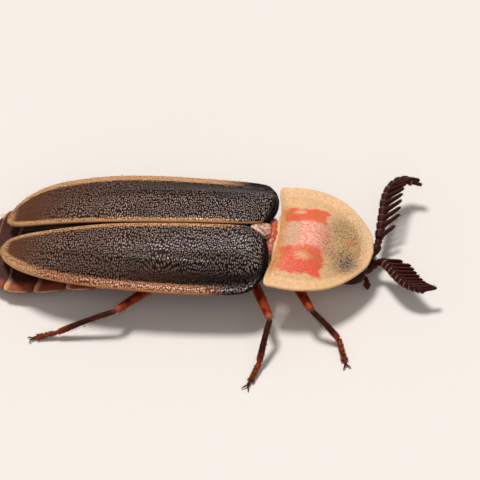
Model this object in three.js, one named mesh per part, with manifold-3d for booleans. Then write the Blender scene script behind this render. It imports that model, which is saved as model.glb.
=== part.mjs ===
// Male firefly with comb-like antennae, life size, standing with its wing cases closed.
// Millimetres. X runs forward to the head, Y to the animal's left, Z up, and the floor is Z = 0.
import * as THREE from "three";
import { mergeVertices } from "three/addons/utils/BufferGeometryUtils.js";
import Module from "manifold-3d";

const wasm = await Module();
wasm.setup();

// Clear space between neighbouring sub-parts, and how deep a fused piece is sunk into its carrier.
const GAP = 0.15;
const SINK = 0.08;

// Colours, with roughness, of each kind of surface.
const BLACK_SHELL = { color: 0x1d1512, roughness: 0.42 };
const CREAM_SHELL = { color: 0xd9b98a, roughness: 0.5 };
const PINK_SHELL = { color: 0xe9a58e, roughness: 0.5 };
const BROWN_SHELL = { color: 0x3a2118, roughness: 0.5 };
const LEG_SHELL = { color: 0x6a3a26, roughness: 0.48 };
const EYE_GLOSS = { color: 0x0c0807, roughness: 0.15 };
const SMOKY_WING = { color: 0x2a211d, roughness: 0.35 };
const LANTERN_CREAM = { color: 0xe6dfb0, roughness: 0.55 };

// Wing cases, left side: matching stations of the inner (suture) edge and of the outer margin.
const SUTURE_EDGE = [
  [0.96, 0.47, 2.12], [0.4, 0.15, 2.38], [-1.3, 0.08, 2.37], [-3.0, 0.08, 2.28], [-4.5, 0.1, 2.14],
  [-5.8, 0.135, 1.92], [-6.7, 0.16, 1.72], [-7.4, 0.2, 1.53], [-7.88, 0.32, 1.37], [-8.15, 0.56, 1.23],
];
const MARGIN_EDGE = [
  [0.86, 1.87, 1.85], [0.44, 2.34, 1.68], [-1.2, 2.47, 1.67], [-3.0, 2.48, 1.71], [-4.5, 2.4, 1.72],
  [-5.8, 2.21, 1.67], [-6.7, 1.97, 1.61], [-7.4, 1.62, 1.48], [-7.88, 1.2, 1.33], [-8.15, 0.78, 1.22],
];
const ELYTRON = {
  rows: 20,
  across: [0, 0.08, 0.2, 0.31, 0.42, 0.53, 0.64, 0.75, 0.87, 0.94, 1],
  flangeStart: 0.87,
  flangeRise: 0.06,
  domePower: 2.2,
  swell: 0.07,
  frontBulge: 0.18,
  thickEdge: 0.2,
  thickMiddle: 0.42,
  costae: [0.31, 0.64],
  costaRise: 0.045,
};

// Folded hind wings under the wing cases.
const HINDWING = {
  rows: 12,
  from: 0.17,
  to: 0.8,
  across: [0.05, 0.18, 0.31, 0.44, 0.57, 0.68],
  veins: [0.18, 0.44, 0.68],
  veinRise: 0.04,
  thick: 0.2,
};

// Pronotum, left half of its rim from the middle of the rear edge to the front tip.
const PRONOTUM_RIM = [
  [1.39, 0, 1.98], [1.31, 1.0, 1.95], [1.12, 1.97, 1.84], [1.5, 2.13, 1.79], [2.25, 2.15, 1.7],
  [3.0, 1.97, 1.57], [3.58, 1.62, 1.44], [4.05, 1.12, 1.33], [4.37, 0.6, 1.24], [4.48, 0, 1.21],
];
const PRONOTUM = {
  centre: [2.4, 0, 2.14],
  rings: [0.15, 0.36, 0.54, 0.7, 0.82, 0.92, 1],
  spokes: 32,
  discEdge: 0.8,
  thickCentre: 0.3,
  thickRim: 0.13,
};
const PROTHORAX = { front: 2.72, rear: 1.24, halfWidth: 1.15, bottom: 0.74, top: 1.94 };

const SCUTELLUM = { tip: 0.46, front: 1.16, halfWidth: 0.3, top: 2.27, thick: 0.24, pitch: 14 };

// Middle and hind thorax: stations of x, half width, underside and top.
const THORAX = [
  [1.06, 0.95, 0.95, 1.66], [0.8, 1.3, 0.8, 1.68], [0.2, 1.55, 0.72, 1.64], [-0.25, 1.6, 0.7, 1.36],
  [-1.2, 1.6, 0.68, 1.34], [-2.0, 1.5, 0.68, 1.3], [-2.4, 1.35, 0.74, 1.24],
];

// Abdomen: the front, then the rear end of each segment: x, half width, underside, side and top.
const ABDOMEN = [
  [-2.55, 1.45, 0.6, 0.94, 1.2], [-3.55, 1.7, 0.5, 0.88, 1.14], [-4.6, 1.82, 0.42, 0.78, 1.02],
  [-5.65, 1.83, 0.36, 0.67, 0.9], [-6.75, 1.97, 0.33, 0.58, 0.8], [-7.8, 1.9, 0.32, 0.52, 0.74],
  [-8.5, 1.42, 0.34, 0.5, 0.7], [-9.0, 0.62, 0.4, 0.5, 0.62],
];
const SEGMENT_STEP = 0.13;
const LANTERN = { front: -6.85, rear: -8.35, halfWidth: 1.15, bottom: 0.24, thick: 0.19 };

// Head, eyes and mouthparts.
const HEAD = { centre: [3.56, 0, 0.63], radii: [0.72, 0.82, 0.38] };
const NECK = { from: [2.88, 0, 0.9], to: [3.4, 0, 0.75], radius: 0.34 };
const EYE = { centre: [3.72, 0.55, 0.66], radii: [0.52, 0.4, 0.3] };
const MANDIBLE = { from: [3.96, 0.14, 0.46], to: [4.32, 0.03, 0.36], radius: 0.13 };
const PALP = {
  path: [[4.16, 0.34, 0.26], [4.24, 0.52, 0.23], [4.31, 0.85, 0.23]],
  radii: [0.09, 0.14, 0.02],
};

// Antennae: the shaft's path, and the direction and length of its first and its last branch. The
// branches stand closer together to the tip, by the power of the spacing.
const ANTENNA = {
  sides: 6,
  branches: 11,
  scapeEnd: 0.13,
  pedicelEnd: 0.2,
  scapeRadius: 0.17,
  shaftRadius: [0.17, 0.11],
  spacing: 1.25,
  branchDepth: 0.14,
  branchThick: 0.065,
};
const ANTENNA_POSES = {
  left: {
    path: [[4.26, 0.27, 0.66], [4.45, 0.52, 0.74], [4.51, 0.98, 0.8], [4.51, 1.72, 0.92],
      [4.52, 2.48, 1.03], [4.63, 2.9, 1.07], [4.84, 3.17, 1.08], [5.1, 3.29, 1.06], [5.36, 3.2, 1.0]],
    comb: [[0.83, 0.52, 0.21], [0.9, -0.35, -0.15]],
    reach: [0.7, 0.28],
  },
  right: {
    path: [[4.28, -0.2, 0.66], [4.56, -0.13, 0.78], [4.8, -0.15, 0.86], [5.05, -0.4, 0.88],
      [5.32, -0.74, 0.9], [5.58, -1.0, 0.9], [5.82, -1.14, 0.9], [6.08, -1.2, 0.86], [6.32, -1.2, 0.8]],
    comb: [[0.98, 0.03, 0.16], [0.96, 0.22, 0.14]],
    reach: [0.74, 0.42],
  },
};

// Legs: the joints from the hip to the tip of the claws. The near side follows the photo.
const LEGS = {
  front_right: [[1.6, -0.6, 0.78], [2.75, -2.52, 1.1], [3.64, -2.98, 0.24], [3.93, -3.75, 0.09],
    [4.05, -4.04, 0.06]],
  mid_right: [[0.3, -0.62, 0.64], [1.42, -2.94, 1.08], [1.14, -4.14, 0.24], [0.93, -4.81, 0.09],
    [0.8, -5.13, 0.06]],
  hind_right: [[-2.05, -0.72, 0.6], [-3.85, -2.87, 0.98], [-5.85, -3.31, 0.24], [-6.54, -3.43, 0.09],
    [-6.8, -3.53, 0.06]],
  front_left: [[1.6, 0.6, 0.78], [2.25, 1.95, 1.02], [2.5, 2.55, 0.24], [2.42, 2.98, 0.09],
    [2.38, 3.24, 0.06]],
  mid_left: [[0.3, 0.62, 0.64], [0.6, 2.2, 1.0], [0.1, 2.75, 0.24], [-0.2, 3.2, 0.09],
    [-0.34, 3.46, 0.06]],
  hind_left: [[-2.05, 0.72, 0.6], [-3.6, 2.3, 0.95], [-5.3, 2.6, 0.24], [-6.1, 2.85, 0.09],
    [-6.38, 2.96, 0.06]],
};
const LEG = {
  sides: 7,
  coxaRadius: 0.3,
  // Radius along each piece, as fraction of its length and radius.
  femur: [[0, 0.18], [0.15, 0.24], [0.8, 0.24], [1, 0.16]],
  tibia: [[-0.04, 0.17], [0.1, 0.21], [0.92, 0.2], [1, 0.15]],
  tarsomere: [[0, 0.09], [0.7, 0.16], [1, 0.11]],
  tarsusShares: [0, 0.34, 0.56, 0.76, 1],
  claw: [[0, 0.07], [0.5, 0.06], [1, 0.02]],
  clawSpread: 0.12,
  clawDrop: 0.04,
};
const FLOOR_BLOCK = 60;

// Edges shorter than this, where two surfaces cross, are collapsed.
const SHORT_EDGE = 0.004;

const vec = ([x, y, z]) => new THREE.Vector3(x, y, z);
const mix = THREE.MathUtils.lerp;

// A closed body through rings of points. Each end is zipped shut across its ring, and both
// halves of a ring are split alike, so that a thin curved plate keeps its thickness.
function skin(rings) {
  const count = rings[0].length;
  const index = [];
  const at = (row, column) => row * count + (column % count);
  for (let row = 0; row + 1 < rings.length; row += 1) {
    for (let column = 0; column < count; column += 1) {
      const a = at(row, column);
      const b = at(row, column + 1);
      const c = at(row + 1, column);
      const d = at(row + 1, column + 1);
      if (column < count / 2) {
        index.push(a, b, d, a, d, c);
      } else {
        index.push(a, b, c, b, d, c);
      }
    }
  }
  const last = rings.length - 1;
  for (let low = 0, high = count - 1; high - low > 1; ) {
    index.push(at(0, low), at(0, high), at(0, low + 1));
    index.push(at(last, low), at(last, low + 1), at(last, high));
    low += 1;
    if (high - low > 1) {
      index.push(at(0, low), at(0, high), at(0, high - 1));
      index.push(at(last, low), at(last, high - 1), at(last, high));
      high -= 1;
    }
  }
  const geometry = new THREE.BufferGeometry().setFromPoints(rings.flat());
  geometry.setIndex(index);
  return geometry;
}

// Six times the volume that the triangles enclose, positive when they face outwards.
function signedVolume(position, index) {
  const [a, b, c] = [new THREE.Vector3(), new THREE.Vector3(), new THREE.Vector3()];
  let sum = 0;
  for (let i = 0; i < index.length; i += 3) {
    a.fromBufferAttribute(position, index[i]);
    b.fromBufferAttribute(position, index[i + 1]);
    c.fromBufferAttribute(position, index[i + 2]);
    sum += a.dot(b.cross(c));
  }
  return sum;
}

// A solid of a closed geometry, with its faces turned outwards.
function solid(geometry) {
  const bare = geometry.clone();
  bare.deleteAttribute("normal");
  bare.deleteAttribute("uv");
  const merged = mergeVertices(bare, 1e-5);
  const position = merged.getAttribute("position");
  let triangles = [];
  for (let i = 0; i < merged.index.count; i += 3) {
    const [a, b, c] = [merged.index.getX(i), merged.index.getX(i + 1), merged.index.getX(i + 2)];
    if (a !== b && b !== c && c !== a) triangles.push(a, b, c);
  }
  if (signedVolume(position, triangles) < 0) triangles = triangles.reverse();
  const mesh = new wasm.Mesh({
    numProp: 3,
    vertProperties: new Float32Array(position.array),
    triVerts: new Uint32Array(triangles),
  });
  return new wasm.Manifold(mesh);
}

const fuse = (solids) => solids.reduce((sum, next) => sum.add(next));

// An ellipsoid with its centre and three radii.
function ellipsoid(centre, radii, columns = 16, rows = 10) {
  const ball = new THREE.SphereGeometry(1, columns, rows);
  ball.rotateX(Math.PI / 2);
  ball.scale(...radii);
  ball.translate(...centre);
  return solid(ball);
}

// A round piece turned about the line from one point to another, from its radius along that line.
// It may be flattened across side, a direction roughly square to the line.
function turned(from, to, radii, { sides = LEG.sides, side = [0, 0, 1], flat = 1, grow = 0 } = {}) {
  const line = to.clone().sub(from);
  const length = line.length();
  const profile = radii.map(([share, radius]) => new THREE.Vector2(radius + grow, share * length));
  const closed = [new THREE.Vector2(0, profile[0].y), ...profile, new THREE.Vector2(0, length)];
  const body = new THREE.LatheGeometry(closed, sides);
  const along = line.normalize();
  const depth = vec(side).cross(along).normalize();
  const across = along.clone().cross(depth).normalize();
  body.scale(1, 1, flat);
  body.applyMatrix4(new THREE.Matrix4().makeBasis(depth, along, across.negate()));
  body.translate(from.x, from.y, from.z);
  return solid(body);
}

// A round tube along a path, from its radius at shares of the path.
function tube(path, stations, sides) {
  const rings = stations.map(([share, radius]) => {
    const centre = path.getPointAt(share);
    const along = path.getTangentAt(share);
    const side = new THREE.Vector3(0, 0, 1).cross(along).normalize();
    const up = along.clone().cross(side);
    return Array.from({ length: sides }, (_, i) => {
      const angle = (2 * Math.PI * i) / sides;
      return centre
        .clone()
        .addScaledVector(side, radius * Math.cos(angle))
        .addScaledVector(up, radius * Math.sin(angle));
    });
  });
  return solid(skin(rings));
}

// A flattened body through stations of x, half width, underside, side height and top.
function flatBody(stations, points, edgePower) {
  const rings = stations.map(([x, halfWidth, bottom, side, top]) =>
    Array.from({ length: points }, (_, i) => {
      const angle = (2 * Math.PI * (i + 0.5)) / points;
      const cosine = Math.cos(angle);
      const sine = Math.sin(angle);
      const height = (sine > 0 ? top - side : side - bottom) * Math.abs(sine) ** edgePower;
      return new THREE.Vector3(x, halfWidth * cosine, side + Math.sign(sine) * height);
    }),
  );
  return solid(skin(rings));
}

const sutureCurve = new THREE.CatmullRomCurve3(SUTURE_EDGE.map(vec));
const marginCurve = new THREE.CatmullRomCurve3(MARGIN_EDGE.map(vec));

// A point on the top of a wing case: share runs from front to tip, across from suture to margin.
function wingCaseTop(share, across, side) {
  const inner = sutureCurve.getPoint(share);
  const outer = marginCurve.getPoint(share);
  const point = inner.clone().lerp(outer, across);
  const disc = Math.min(across / ELYTRON.flangeStart, 1);
  const fade = Math.sin(Math.PI * Math.min(share * 1.02, 1)) ** 0.35;
  const rim = outer.z + ELYTRON.flangeRise * fade;
  const flange = Math.max((across - ELYTRON.flangeStart) / (1 - ELYTRON.flangeStart), 0);
  point.z = mix(rim, inner.z, 1 - disc ** ELYTRON.domePower) - flange * (rim - outer.z);
  point.z += ELYTRON.swell * Math.sin(Math.PI * disc) * fade;
  point.x += ELYTRON.frontBulge * Math.sin(Math.PI * across) ** 0.6 * (1 - share) ** 8;
  point.y *= side;
  return point;
}

// How thick a wing case is: thin at its edges and towards its tip.
function wingCaseThickness(share, across) {
  const belly = Math.sin(Math.PI * Math.min(Math.max(across, 0), 1)) ** 0.6;
  return mix(ELYTRON.thickEdge, mix(ELYTRON.thickMiddle, ELYTRON.thickEdge, share ** 3), belly);
}

function wingCase(side) {
  const rings = [];
  for (let row = 0; row <= ELYTRON.rows; row += 1) {
    const share = row / ELYTRON.rows;
    const top = [];
    const bottom = [];
    ELYTRON.across.forEach((across) => {
      const point = wingCaseTop(share, across, side);
      const under = point.clone();
      under.z -= wingCaseThickness(share, across);
      if (ELYTRON.costae.includes(across)) {
        point.z += ELYTRON.costaRise * Math.sin(Math.PI * share) ** 0.5;
      }
      top.push(point);
      bottom.unshift(under);
    });
    rings.push([...top, ...bottom]);
  }
  return solid(skin(rings));
}

function hindWing(side) {
  const rings = [];
  for (let row = 0; row <= HINDWING.rows; row += 1) {
    const along = row / HINDWING.rows;
    const share = mix(HINDWING.from, HINDWING.to, along);
    const narrow = Math.sqrt(1 - along ** 4 * 0.8);
    const top = [];
    const bottom = [];
    HINDWING.across.forEach((across) => {
      const place = across * narrow;
      const point = wingCaseTop(share, place, side);
      point.z -= wingCaseThickness(share, place) + GAP + HINDWING.veinRise;
      const under = point.clone();
      under.z -= HINDWING.thick * (1 - 0.35 * along);
      if (HINDWING.veins.includes(across)) point.z += HINDWING.veinRise;
      top.push(point);
      bottom.unshift(under);
    });
    rings.push([...top, ...bottom]);
  }
  return solid(skin(rings));
}

// The rim of the pronotum at an angle about its middle: 0 at the front tip.
const rimCurve = new THREE.CatmullRomCurve3(PRONOTUM_RIM.map(vec));
function rimPoint(turn) {
  const half = turn <= 0.5 ? turn * 2 : (1 - turn) * 2;
  const point = rimCurve.getPointAt(1 - half);
  if (turn > 0.5) point.y *= -1;
  return point;
}

function pronotumShield() {
  const centre = vec(PRONOTUM.centre);
  const ring = (radius, under) =>
    Array.from({ length: PRONOTUM.spokes }, (_, i) => {
      const rim = rimPoint(i / PRONOTUM.spokes);
      const point = centre.clone().lerp(rim, radius);
      const dome = radius < PRONOTUM.discEdge ? (1 - (radius / PRONOTUM.discEdge) ** 2) ** 1.3 : 0;
      point.z = mix(rim.z, centre.z, dome);
      if (under) point.z -= mix(PRONOTUM.thickCentre, PRONOTUM.thickRim, radius ** 2);
      return point;
    });
  const rings = PRONOTUM.rings.map((radius) => ring(radius, false));
  const under = PRONOTUM.rings.map((radius) => ring(radius, true)).reverse();
  return solid(skin([...rings, ...under]));
}

function prothorax() {
  const { front, rear, halfWidth, bottom, top } = PROTHORAX;
  const side = mix(bottom, top, 0.6);
  const stations = [rear, mix(rear, front, 0.4), front].map((x, i) => {
    const share = [0.95, 1, 0.8][i];
    return [x, halfWidth * share, mix(side, bottom, share), side, mix(side, top, share)];
  });
  return flatBody(stations, 20, 0.8);
}

function scutellum() {
  const { tip, front, halfWidth, top, thick, pitch } = SCUTELLUM;
  const shape = new THREE.Shape();
  shape.moveTo(tip, 0);
  shape.lineTo(front - 0.2, -halfWidth);
  shape.quadraticCurveTo(front, -halfWidth, front, 0);
  shape.quadraticCurveTo(front, halfWidth, front - 0.2, halfWidth);
  shape.closePath();
  const plate = new THREE.ExtrudeGeometry(shape, { depth: thick, bevelEnabled: false, curveSegments: 5 });
  plate.translate(-tip, 0, -thick);
  plate.rotateY(THREE.MathUtils.degToRad(pitch));
  plate.translate(tip, 0, top);
  return solid(plate);
}

function thorax() {
  const stations = THORAX.map(([x, halfWidth, bottom, top]) =>
    [x, halfWidth, bottom, mix(bottom, top, 0.55), top]);
  const saddle = ellipsoid([0.68, 0, 1.46], [0.36, 0.34, 0.38], 12, 8);
  return flatBody(stations, 20, 0.75).add(saddle);
}

function lantern(grow) {
  const { front, rear, halfWidth, bottom, thick } = LANTERN;
  const stations = [0, 0.06, 0.5, 0.94, 1].map((share, i) => {
    const x = mix(front + grow, rear - grow, share);
    const width = halfWidth * [0.86, 1, 1, 0.8, 0.66][i] + grow;
    const top = bottom + thick + grow;
    return [x, width, bottom + 0.04, bottom + thick * 0.5, top];
  });
  return flatBody(stations, 16, 0.35);
}

function abdomen() {
  const stations = [];
  ABDOMEN.forEach(([x, halfWidth, bottom, side, top], i) => {
    const last = i === ABDOMEN.length - 1;
    if (i > 0) stations.push([x + 0.25, halfWidth - 0.03, bottom, side, top + 0.01]);
    stations.push([x, halfWidth, bottom, side, top]);
    if (i > 0 && !last) {
      const inset = halfWidth - SEGMENT_STEP;
      stations.push([x - 0.03, inset, bottom + 0.05, side, top - 0.05]);
    }
  });
  return flatBody(stations, 24, 1.05);
}

function head() {
  const neck = turned(vec(NECK.from), vec(NECK.to), [[0, NECK.radius], [1, NECK.radius]]);
  const capsule = ellipsoid(HEAD.centre, HEAD.radii, 16, 10);
  const jaws = [1, -1].map((side) => {
    const [from, to] = [vec(MANDIBLE.from), vec(MANDIBLE.to)];
    from.y *= side;
    to.y *= side;
    return turned(from, to, [[0, MANDIBLE.radius], [0.6, 0.1], [1, 0.06]], { sides: 6 });
  });
  const sockets = [1, -1].map((side) => eye(side, GAP));
  const roots = ["left", "right"].map((name) => antennaRoot(name, GAP));
  return fuse([capsule, neck, ...jaws]).subtract(fuse([...sockets, ...roots]));
}

function eye(side, grow = 0) {
  const [x, y, z] = EYE.centre;
  return ellipsoid([x, y * side, z], EYE.radii.map((radius) => radius + grow), 14, 8);
}

function palp(side) {
  const path = PALP.path.map(([x, y, z]) => new THREE.Vector3(x, y * side, z));
  const [root, knee, tip] = path;
  const [thin, wide, point] = PALP.radii;
  const stalk = turned(root, knee, [[0, thin], [1, thin]], { sides: 6 });
  const blade = turned(knee, tip, [[-0.2, thin], [0.35, wide], [1, point]], { sides: 6, flat: 0.7 });
  return stalk.add(blade);
}

const antennaPath = (name) => new THREE.CatmullRomCurve3(ANTENNA_POSES[name].path.map(vec));

// The clearance that the first joint of an antenna needs in the head.
function antennaRoot(name, grow) {
  const path = antennaPath(name);
  const radius = ANTENNA.scapeRadius + grow;
  const [root, knee] = [path.getPointAt(0), path.getPointAt(ANTENNA.scapeEnd)];
  const back = root.clone().addScaledVector(knee.clone().sub(root).normalize(), -grow);
  return turned(back, knee, [[0, radius], [1, radius]], { sides: 10 });
}

function antenna(name) {
  const path = antennaPath(name);
  const { scapeEnd, pedicelEnd, scapeRadius, shaftRadius, branches, sides } = ANTENNA;
  const [combStart, combEnd] = ANTENNA_POSES[name].comb.map(vec);
  const ends = (i) => mix(pedicelEnd, 1, 1 - (1 - i / branches) ** ANTENNA.spacing);
  const stations = [
    [0, 0.13], [0.03, scapeRadius], [scapeEnd - 0.02, scapeRadius], [scapeEnd, 0.13],
    [scapeEnd + 0.01, 0.14], [pedicelEnd - 0.01, 0.17], [pedicelEnd, 0.12],
  ];
  const pieces = [];
  for (let i = 0; i < branches; i += 1) {
    const share = i / branches;
    const [start, end] = [ends(i), ends(i + 1)];
    const radius = mix(...shaftRadius, share);
    stations.push([mix(start, end, 0.15), radius * 0.78], [mix(start, end, 0.85), radius]);
    const root = path.getPointAt(mix(start, end, 0.6));
    const along = path.getTangentAt(mix(start, end, 0.6));
    const length = mix(...ANTENNA_POSES[name].reach, share ** 3);
    const comb = combStart.clone().lerp(combEnd, share ** 2.5).normalize();
    const tip = root.clone().addScaledVector(comb, length);
    pieces.push(branch(root, tip, along));
  }
  stations.push([1, 0.05]);
  return fuse([tube(path, stations, sides), ...pieces]);
}

// One flat, tapered branch of the comb, thin along the shaft.
function branch(root, tip, along) {
  const { branchDepth, branchThick } = ANTENNA;
  const radii = [[0, branchDepth * 0.8], [0.5, branchDepth], [1, branchDepth * 0.3]];
  return turned(root, tip, radii, { sides: 6, side: along.toArray(), flat: branchThick / branchDepth });
}

// The hip and thigh of a leg, which may be grown to clear a hollow for them.
function legRoot(joints, grow = 0) {
  const [hip, knee] = joints;
  const coxa = ellipsoid(hip.toArray(), Array(3).fill(LEG.coxaRadius + grow), 10, 6);
  return coxa.add(turned(hip, knee, LEG.femur, { grow }));
}

function leg(name) {
  const joints = LEGS[name].map(vec);
  const [, knee, ankle, toe, clawTip] = joints;
  const pieces = [legRoot(joints), turned(knee, ankle, LEG.tibia)];
  for (let i = 0; i < 4; i += 1) {
    const from = ankle.clone().lerp(toe, LEG.tarsusShares[i]);
    const to = ankle.clone().lerp(toe, LEG.tarsusShares[i + 1]);
    const reach = to.clone().sub(from).normalize().multiplyScalar(SINK);
    pieces.push(turned(from.sub(reach), to.add(reach), LEG.tarsomere, { flat: 0.9 }));
  }
  const ahead = clawTip.clone().sub(toe);
  const sideways = new THREE.Vector3(0, 0, 1).cross(ahead).normalize().multiplyScalar(LEG.clawSpread);
  const wrist = toe.clone().lerp(clawTip, 0.45);
  pieces.push(turned(toe, wrist, [[0, 0.1], [1, 0.11]]));
  [1, -1].forEach((turn) => {
    const tip = clawTip.clone().addScaledVector(sideways, turn);
    tip.z -= LEG.clawDrop;
    const base = toe.clone().lerp(wrist, 0.7);
    pieces.push(turned(base, tip, LEG.claw, { sides: 5 }));
  });
  return fuse(pieces).subtract(underFloor());
}

function underFloor() {
  const block = new THREE.BoxGeometry(FLOOR_BLOCK, FLOOR_BLOCK, FLOOR_BLOCK);
  block.translate(0, 0, -FLOOR_BLOCK / 2);
  return solid(block);
}

const legClearance = (names) => fuse(names.map((name) => legRoot(LEGS[name].map(vec), GAP)));

// A named mesh from the largest closed surface of a solid.
function named(name, body, finish) {
  const largest = body.decompose().sort((a, b) => b.volume() - a.volume())[0];
  const mesh = largest.asOriginal().simplify(SHORT_EDGE).getMesh();
  const geometry = new THREE.BufferGeometry();
  geometry.setAttribute("position", new THREE.BufferAttribute(new Float32Array(mesh.vertProperties), 3));
  geometry.setIndex(new THREE.BufferAttribute(new Uint32Array(mesh.triVerts), 1));
  geometry.computeVertexNormals();
  const result = new THREE.Mesh(geometry, new THREE.MeshStandardMaterial(finish));
  result.name = name;
  return result;
}

const firefly = new THREE.Group();
const frontHips = legClearance(["front_left", "front_right"]);
const middleHips = legClearance(["mid_left", "mid_right"]);
const hindHips = legClearance(["hind_left", "hind_right"]);
firefly.add(
  named("pronotum", pronotumShield().add(prothorax()).subtract(frontHips), CREAM_SHELL),
  named("scutellum", scutellum(), PINK_SHELL),
  named("thorax", thorax().subtract(fuse([middleHips, hindHips])), BROWN_SHELL),
  named("abdomen", abdomen().subtract(fuse([lantern(GAP), hindHips])), BROWN_SHELL),
  named("lantern", lantern(0), LANTERN_CREAM),
  named("head", head(), BROWN_SHELL),
);
for (const [name, side] of [["left", 1], ["right", -1]]) {
  firefly.add(
    named(`elytron_${name}`, wingCase(side), BLACK_SHELL),
    named(`hindwing_${name}`, hindWing(side), SMOKY_WING),
    named(`eye_${name}`, eye(side).subtract(antennaRoot(name, GAP)), EYE_GLOSS),
    named(`palp_${name}`, palp(side), BROWN_SHELL),
    named(`antenna_${name}`, antenna(name), BROWN_SHELL),
  );
}
for (const name of Object.keys(LEGS)) firefly.add(named(`leg_${name}`, leg(name), LEG_SHELL));

// The origin is the middle of the model's footprint, on the floor.
const box = new THREE.Box3().setFromObject(firefly);
const middle = box.getCenter(new THREE.Vector3());
firefly.position.set(-middle.x, -middle.y, -box.min.z);
const model = new THREE.Group();
model.add(firefly);

export default model;
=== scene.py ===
import bpy
import numpy as np
from mathutils import Matrix, Vector


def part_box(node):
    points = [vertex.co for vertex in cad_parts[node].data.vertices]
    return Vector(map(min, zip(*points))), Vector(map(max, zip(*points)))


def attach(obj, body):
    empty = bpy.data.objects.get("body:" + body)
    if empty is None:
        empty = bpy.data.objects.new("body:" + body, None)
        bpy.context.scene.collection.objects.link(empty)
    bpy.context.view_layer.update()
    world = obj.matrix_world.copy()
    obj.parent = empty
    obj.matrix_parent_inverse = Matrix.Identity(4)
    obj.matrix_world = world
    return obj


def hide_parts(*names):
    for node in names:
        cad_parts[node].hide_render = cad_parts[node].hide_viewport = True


# A male firefly with comb-like antennae, life size. Shapes are worked out in millimetres in the
# animal's own frame: X forward to the head, Y to its left, Z up, with the floor at Z = 0.
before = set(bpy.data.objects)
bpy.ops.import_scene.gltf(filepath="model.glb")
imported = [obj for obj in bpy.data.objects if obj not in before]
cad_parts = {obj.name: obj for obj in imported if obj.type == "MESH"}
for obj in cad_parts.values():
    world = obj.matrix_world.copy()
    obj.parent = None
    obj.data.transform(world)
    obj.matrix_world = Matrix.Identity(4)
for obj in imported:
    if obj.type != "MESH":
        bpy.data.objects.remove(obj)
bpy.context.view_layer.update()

MM = 0.001
# The way from that frame to the part's is read off the pronotum, by its front tip and its middle.
PRONOTUM_TIP = 4.48
SHIELD_LOW, SHIELD_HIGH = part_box("pronotum")
SHIFT = np.array([
    SHIELD_HIGH.x / MM - PRONOTUM_TIP,
    (SHIELD_LOW.y + SHIELD_HIGH.y) / 2 / MM,
    0.0,
])
SIDES = {"left": 1, "right": -1}
UP = np.array([0.0, 0.0, 1.0])
draw = np.random.default_rng(7)

# Camera: where it looks, from how far, and the width of the picture there.
LOOK_AT = (0.0, 0.0, 1.5)
LOOK_AZIMUTH, LOOK_ELEVATION, LOOK_ROLL = 17.0, 50.0, -10.5
LOOK_DISTANCE = 160.0
PICTURE_WIDTH = 16.0
SENSOR = 36.0
# Half the width of the floor, in metres.
FLOOR_REACH = 3.0

# Wing cases, left side: matching stations of the inner edge and of the outer margin.
SUTURE_EDGE = np.array([
    [0.98, 0.44, 2.12], [0.4, 0.08, 2.38], [-1.3, 0.03, 2.37], [-3.0, 0.03, 2.28], [-4.5, 0.05, 2.14],
    [-5.8, 0.105, 1.92], [-6.7, 0.15, 1.72], [-7.4, 0.2, 1.53], [-7.88, 0.32, 1.37], [-8.15, 0.56, 1.23],
])
MARGIN_EDGE = np.array([
    [0.95, 1.88, 1.85], [0.45, 2.34, 1.68], [-1.2, 2.47, 1.67], [-3.0, 2.48, 1.71], [-4.5, 2.4, 1.72],
    [-5.8, 2.21, 1.67], [-6.7, 1.97, 1.61], [-7.4, 1.62, 1.48], [-7.88, 1.2, 1.33], [-8.15, 0.78, 1.22],
])
CASE_LENGTH = 9.1
FLANGE_START, FLANGE_RISE = 0.87, 0.06
CASE_SWELL, FRONT_BULGE = 0.07, 0.22
CASE_EDGE, CASE_MIDDLE = 0.13, 0.34
# Faint ribs: where they run across it in front and at the rear, and their height.
CASE_RIBS = ((0.34, 0.27, 0.02), (0.66, 0.46, 0.028))
GRANULE_PITCH, GRANULE_HEIGHT = 0.078, 0.006
CASE_MARKS = ("share", "tan", "rough", "sheen", "amber")
# The underside keeps all of these but the grains.
SMOOTH_BELOW = np.array([1, 1, 0, 1, 1])
# Hind wings: the stretches of a wing case's length and width that they lie under, and their veins.
WING_ALONG, WING_ACROSS = (0.16, 0.82), (0.05, 0.7)
VEINS = (0.12, 0.22, 0.36, 0.47, 0.6)
WING_DROP = 0.24

# Pronotum: left half of its rim from the middle of the rear edge to the front tip.
PRONOTUM_RIM = np.array([
    [1.39, 0, 1.98], [1.31, 1.0, 1.95], [1.12, 1.97, 1.84], [1.5, 2.13, 1.79], [2.25, 2.15, 1.7],
    [3.0, 1.97, 1.57], [3.58, 1.62, 1.44], [4.05, 1.12, 1.33], [4.37, 0.6, 1.24], [PRONOTUM_TIP, 0, 1.21],
])
PRONOTUM_TOP = np.array([2.4, 0.0, 2.14])
DISC_EDGE = 0.8
SHIELD_MIDDLE, SHIELD_EDGE = 0.3, 0.13
SHIELD_MARKS = ("red", "orange", "pink", "hot", "milk", "dusk", "dark", "rear", "spot")
FRINGE_HAIRS = 420

# Scutellum: its front and tip with their heights, its half width and its half thickness.
SCUTELLUM = np.array([[1.14, 1.98], [0.42, 2.16]])
SCUTELLUM_HALF, SCUTELLUM_THICK, SCUTELLUM_CROWN = 0.32, 0.11, 0.07
FOLD_HALF = 0.95
FOLD_MARKS = ("front", "low", "spot")

# Underside of the pronotum's segment, and the skin of the waist: x, half width, underside, side
# and top.
PROTHORAX = np.array([
    [1.0, 0.84, 1.02, 1.4, 1.6], [1.18, 0.88, 0.96, 1.42, 1.66], [1.24, 1.09, 0.77, 1.46, 1.9],
    [1.9, 1.15, 0.74, 1.46, 1.94], [2.72, 0.92, 0.88, 1.46, 1.84],
])
WAIST = np.array([[-2.25, 1.28, 0.73, 0.99, 1.16], [-2.75, 1.32, 0.69, 0.97, 1.13]])
# The hump under the scutellum: centre and radii.
SADDLE = ([0.68, 0, 1.46], [0.36, 0.34, 0.38])
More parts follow.
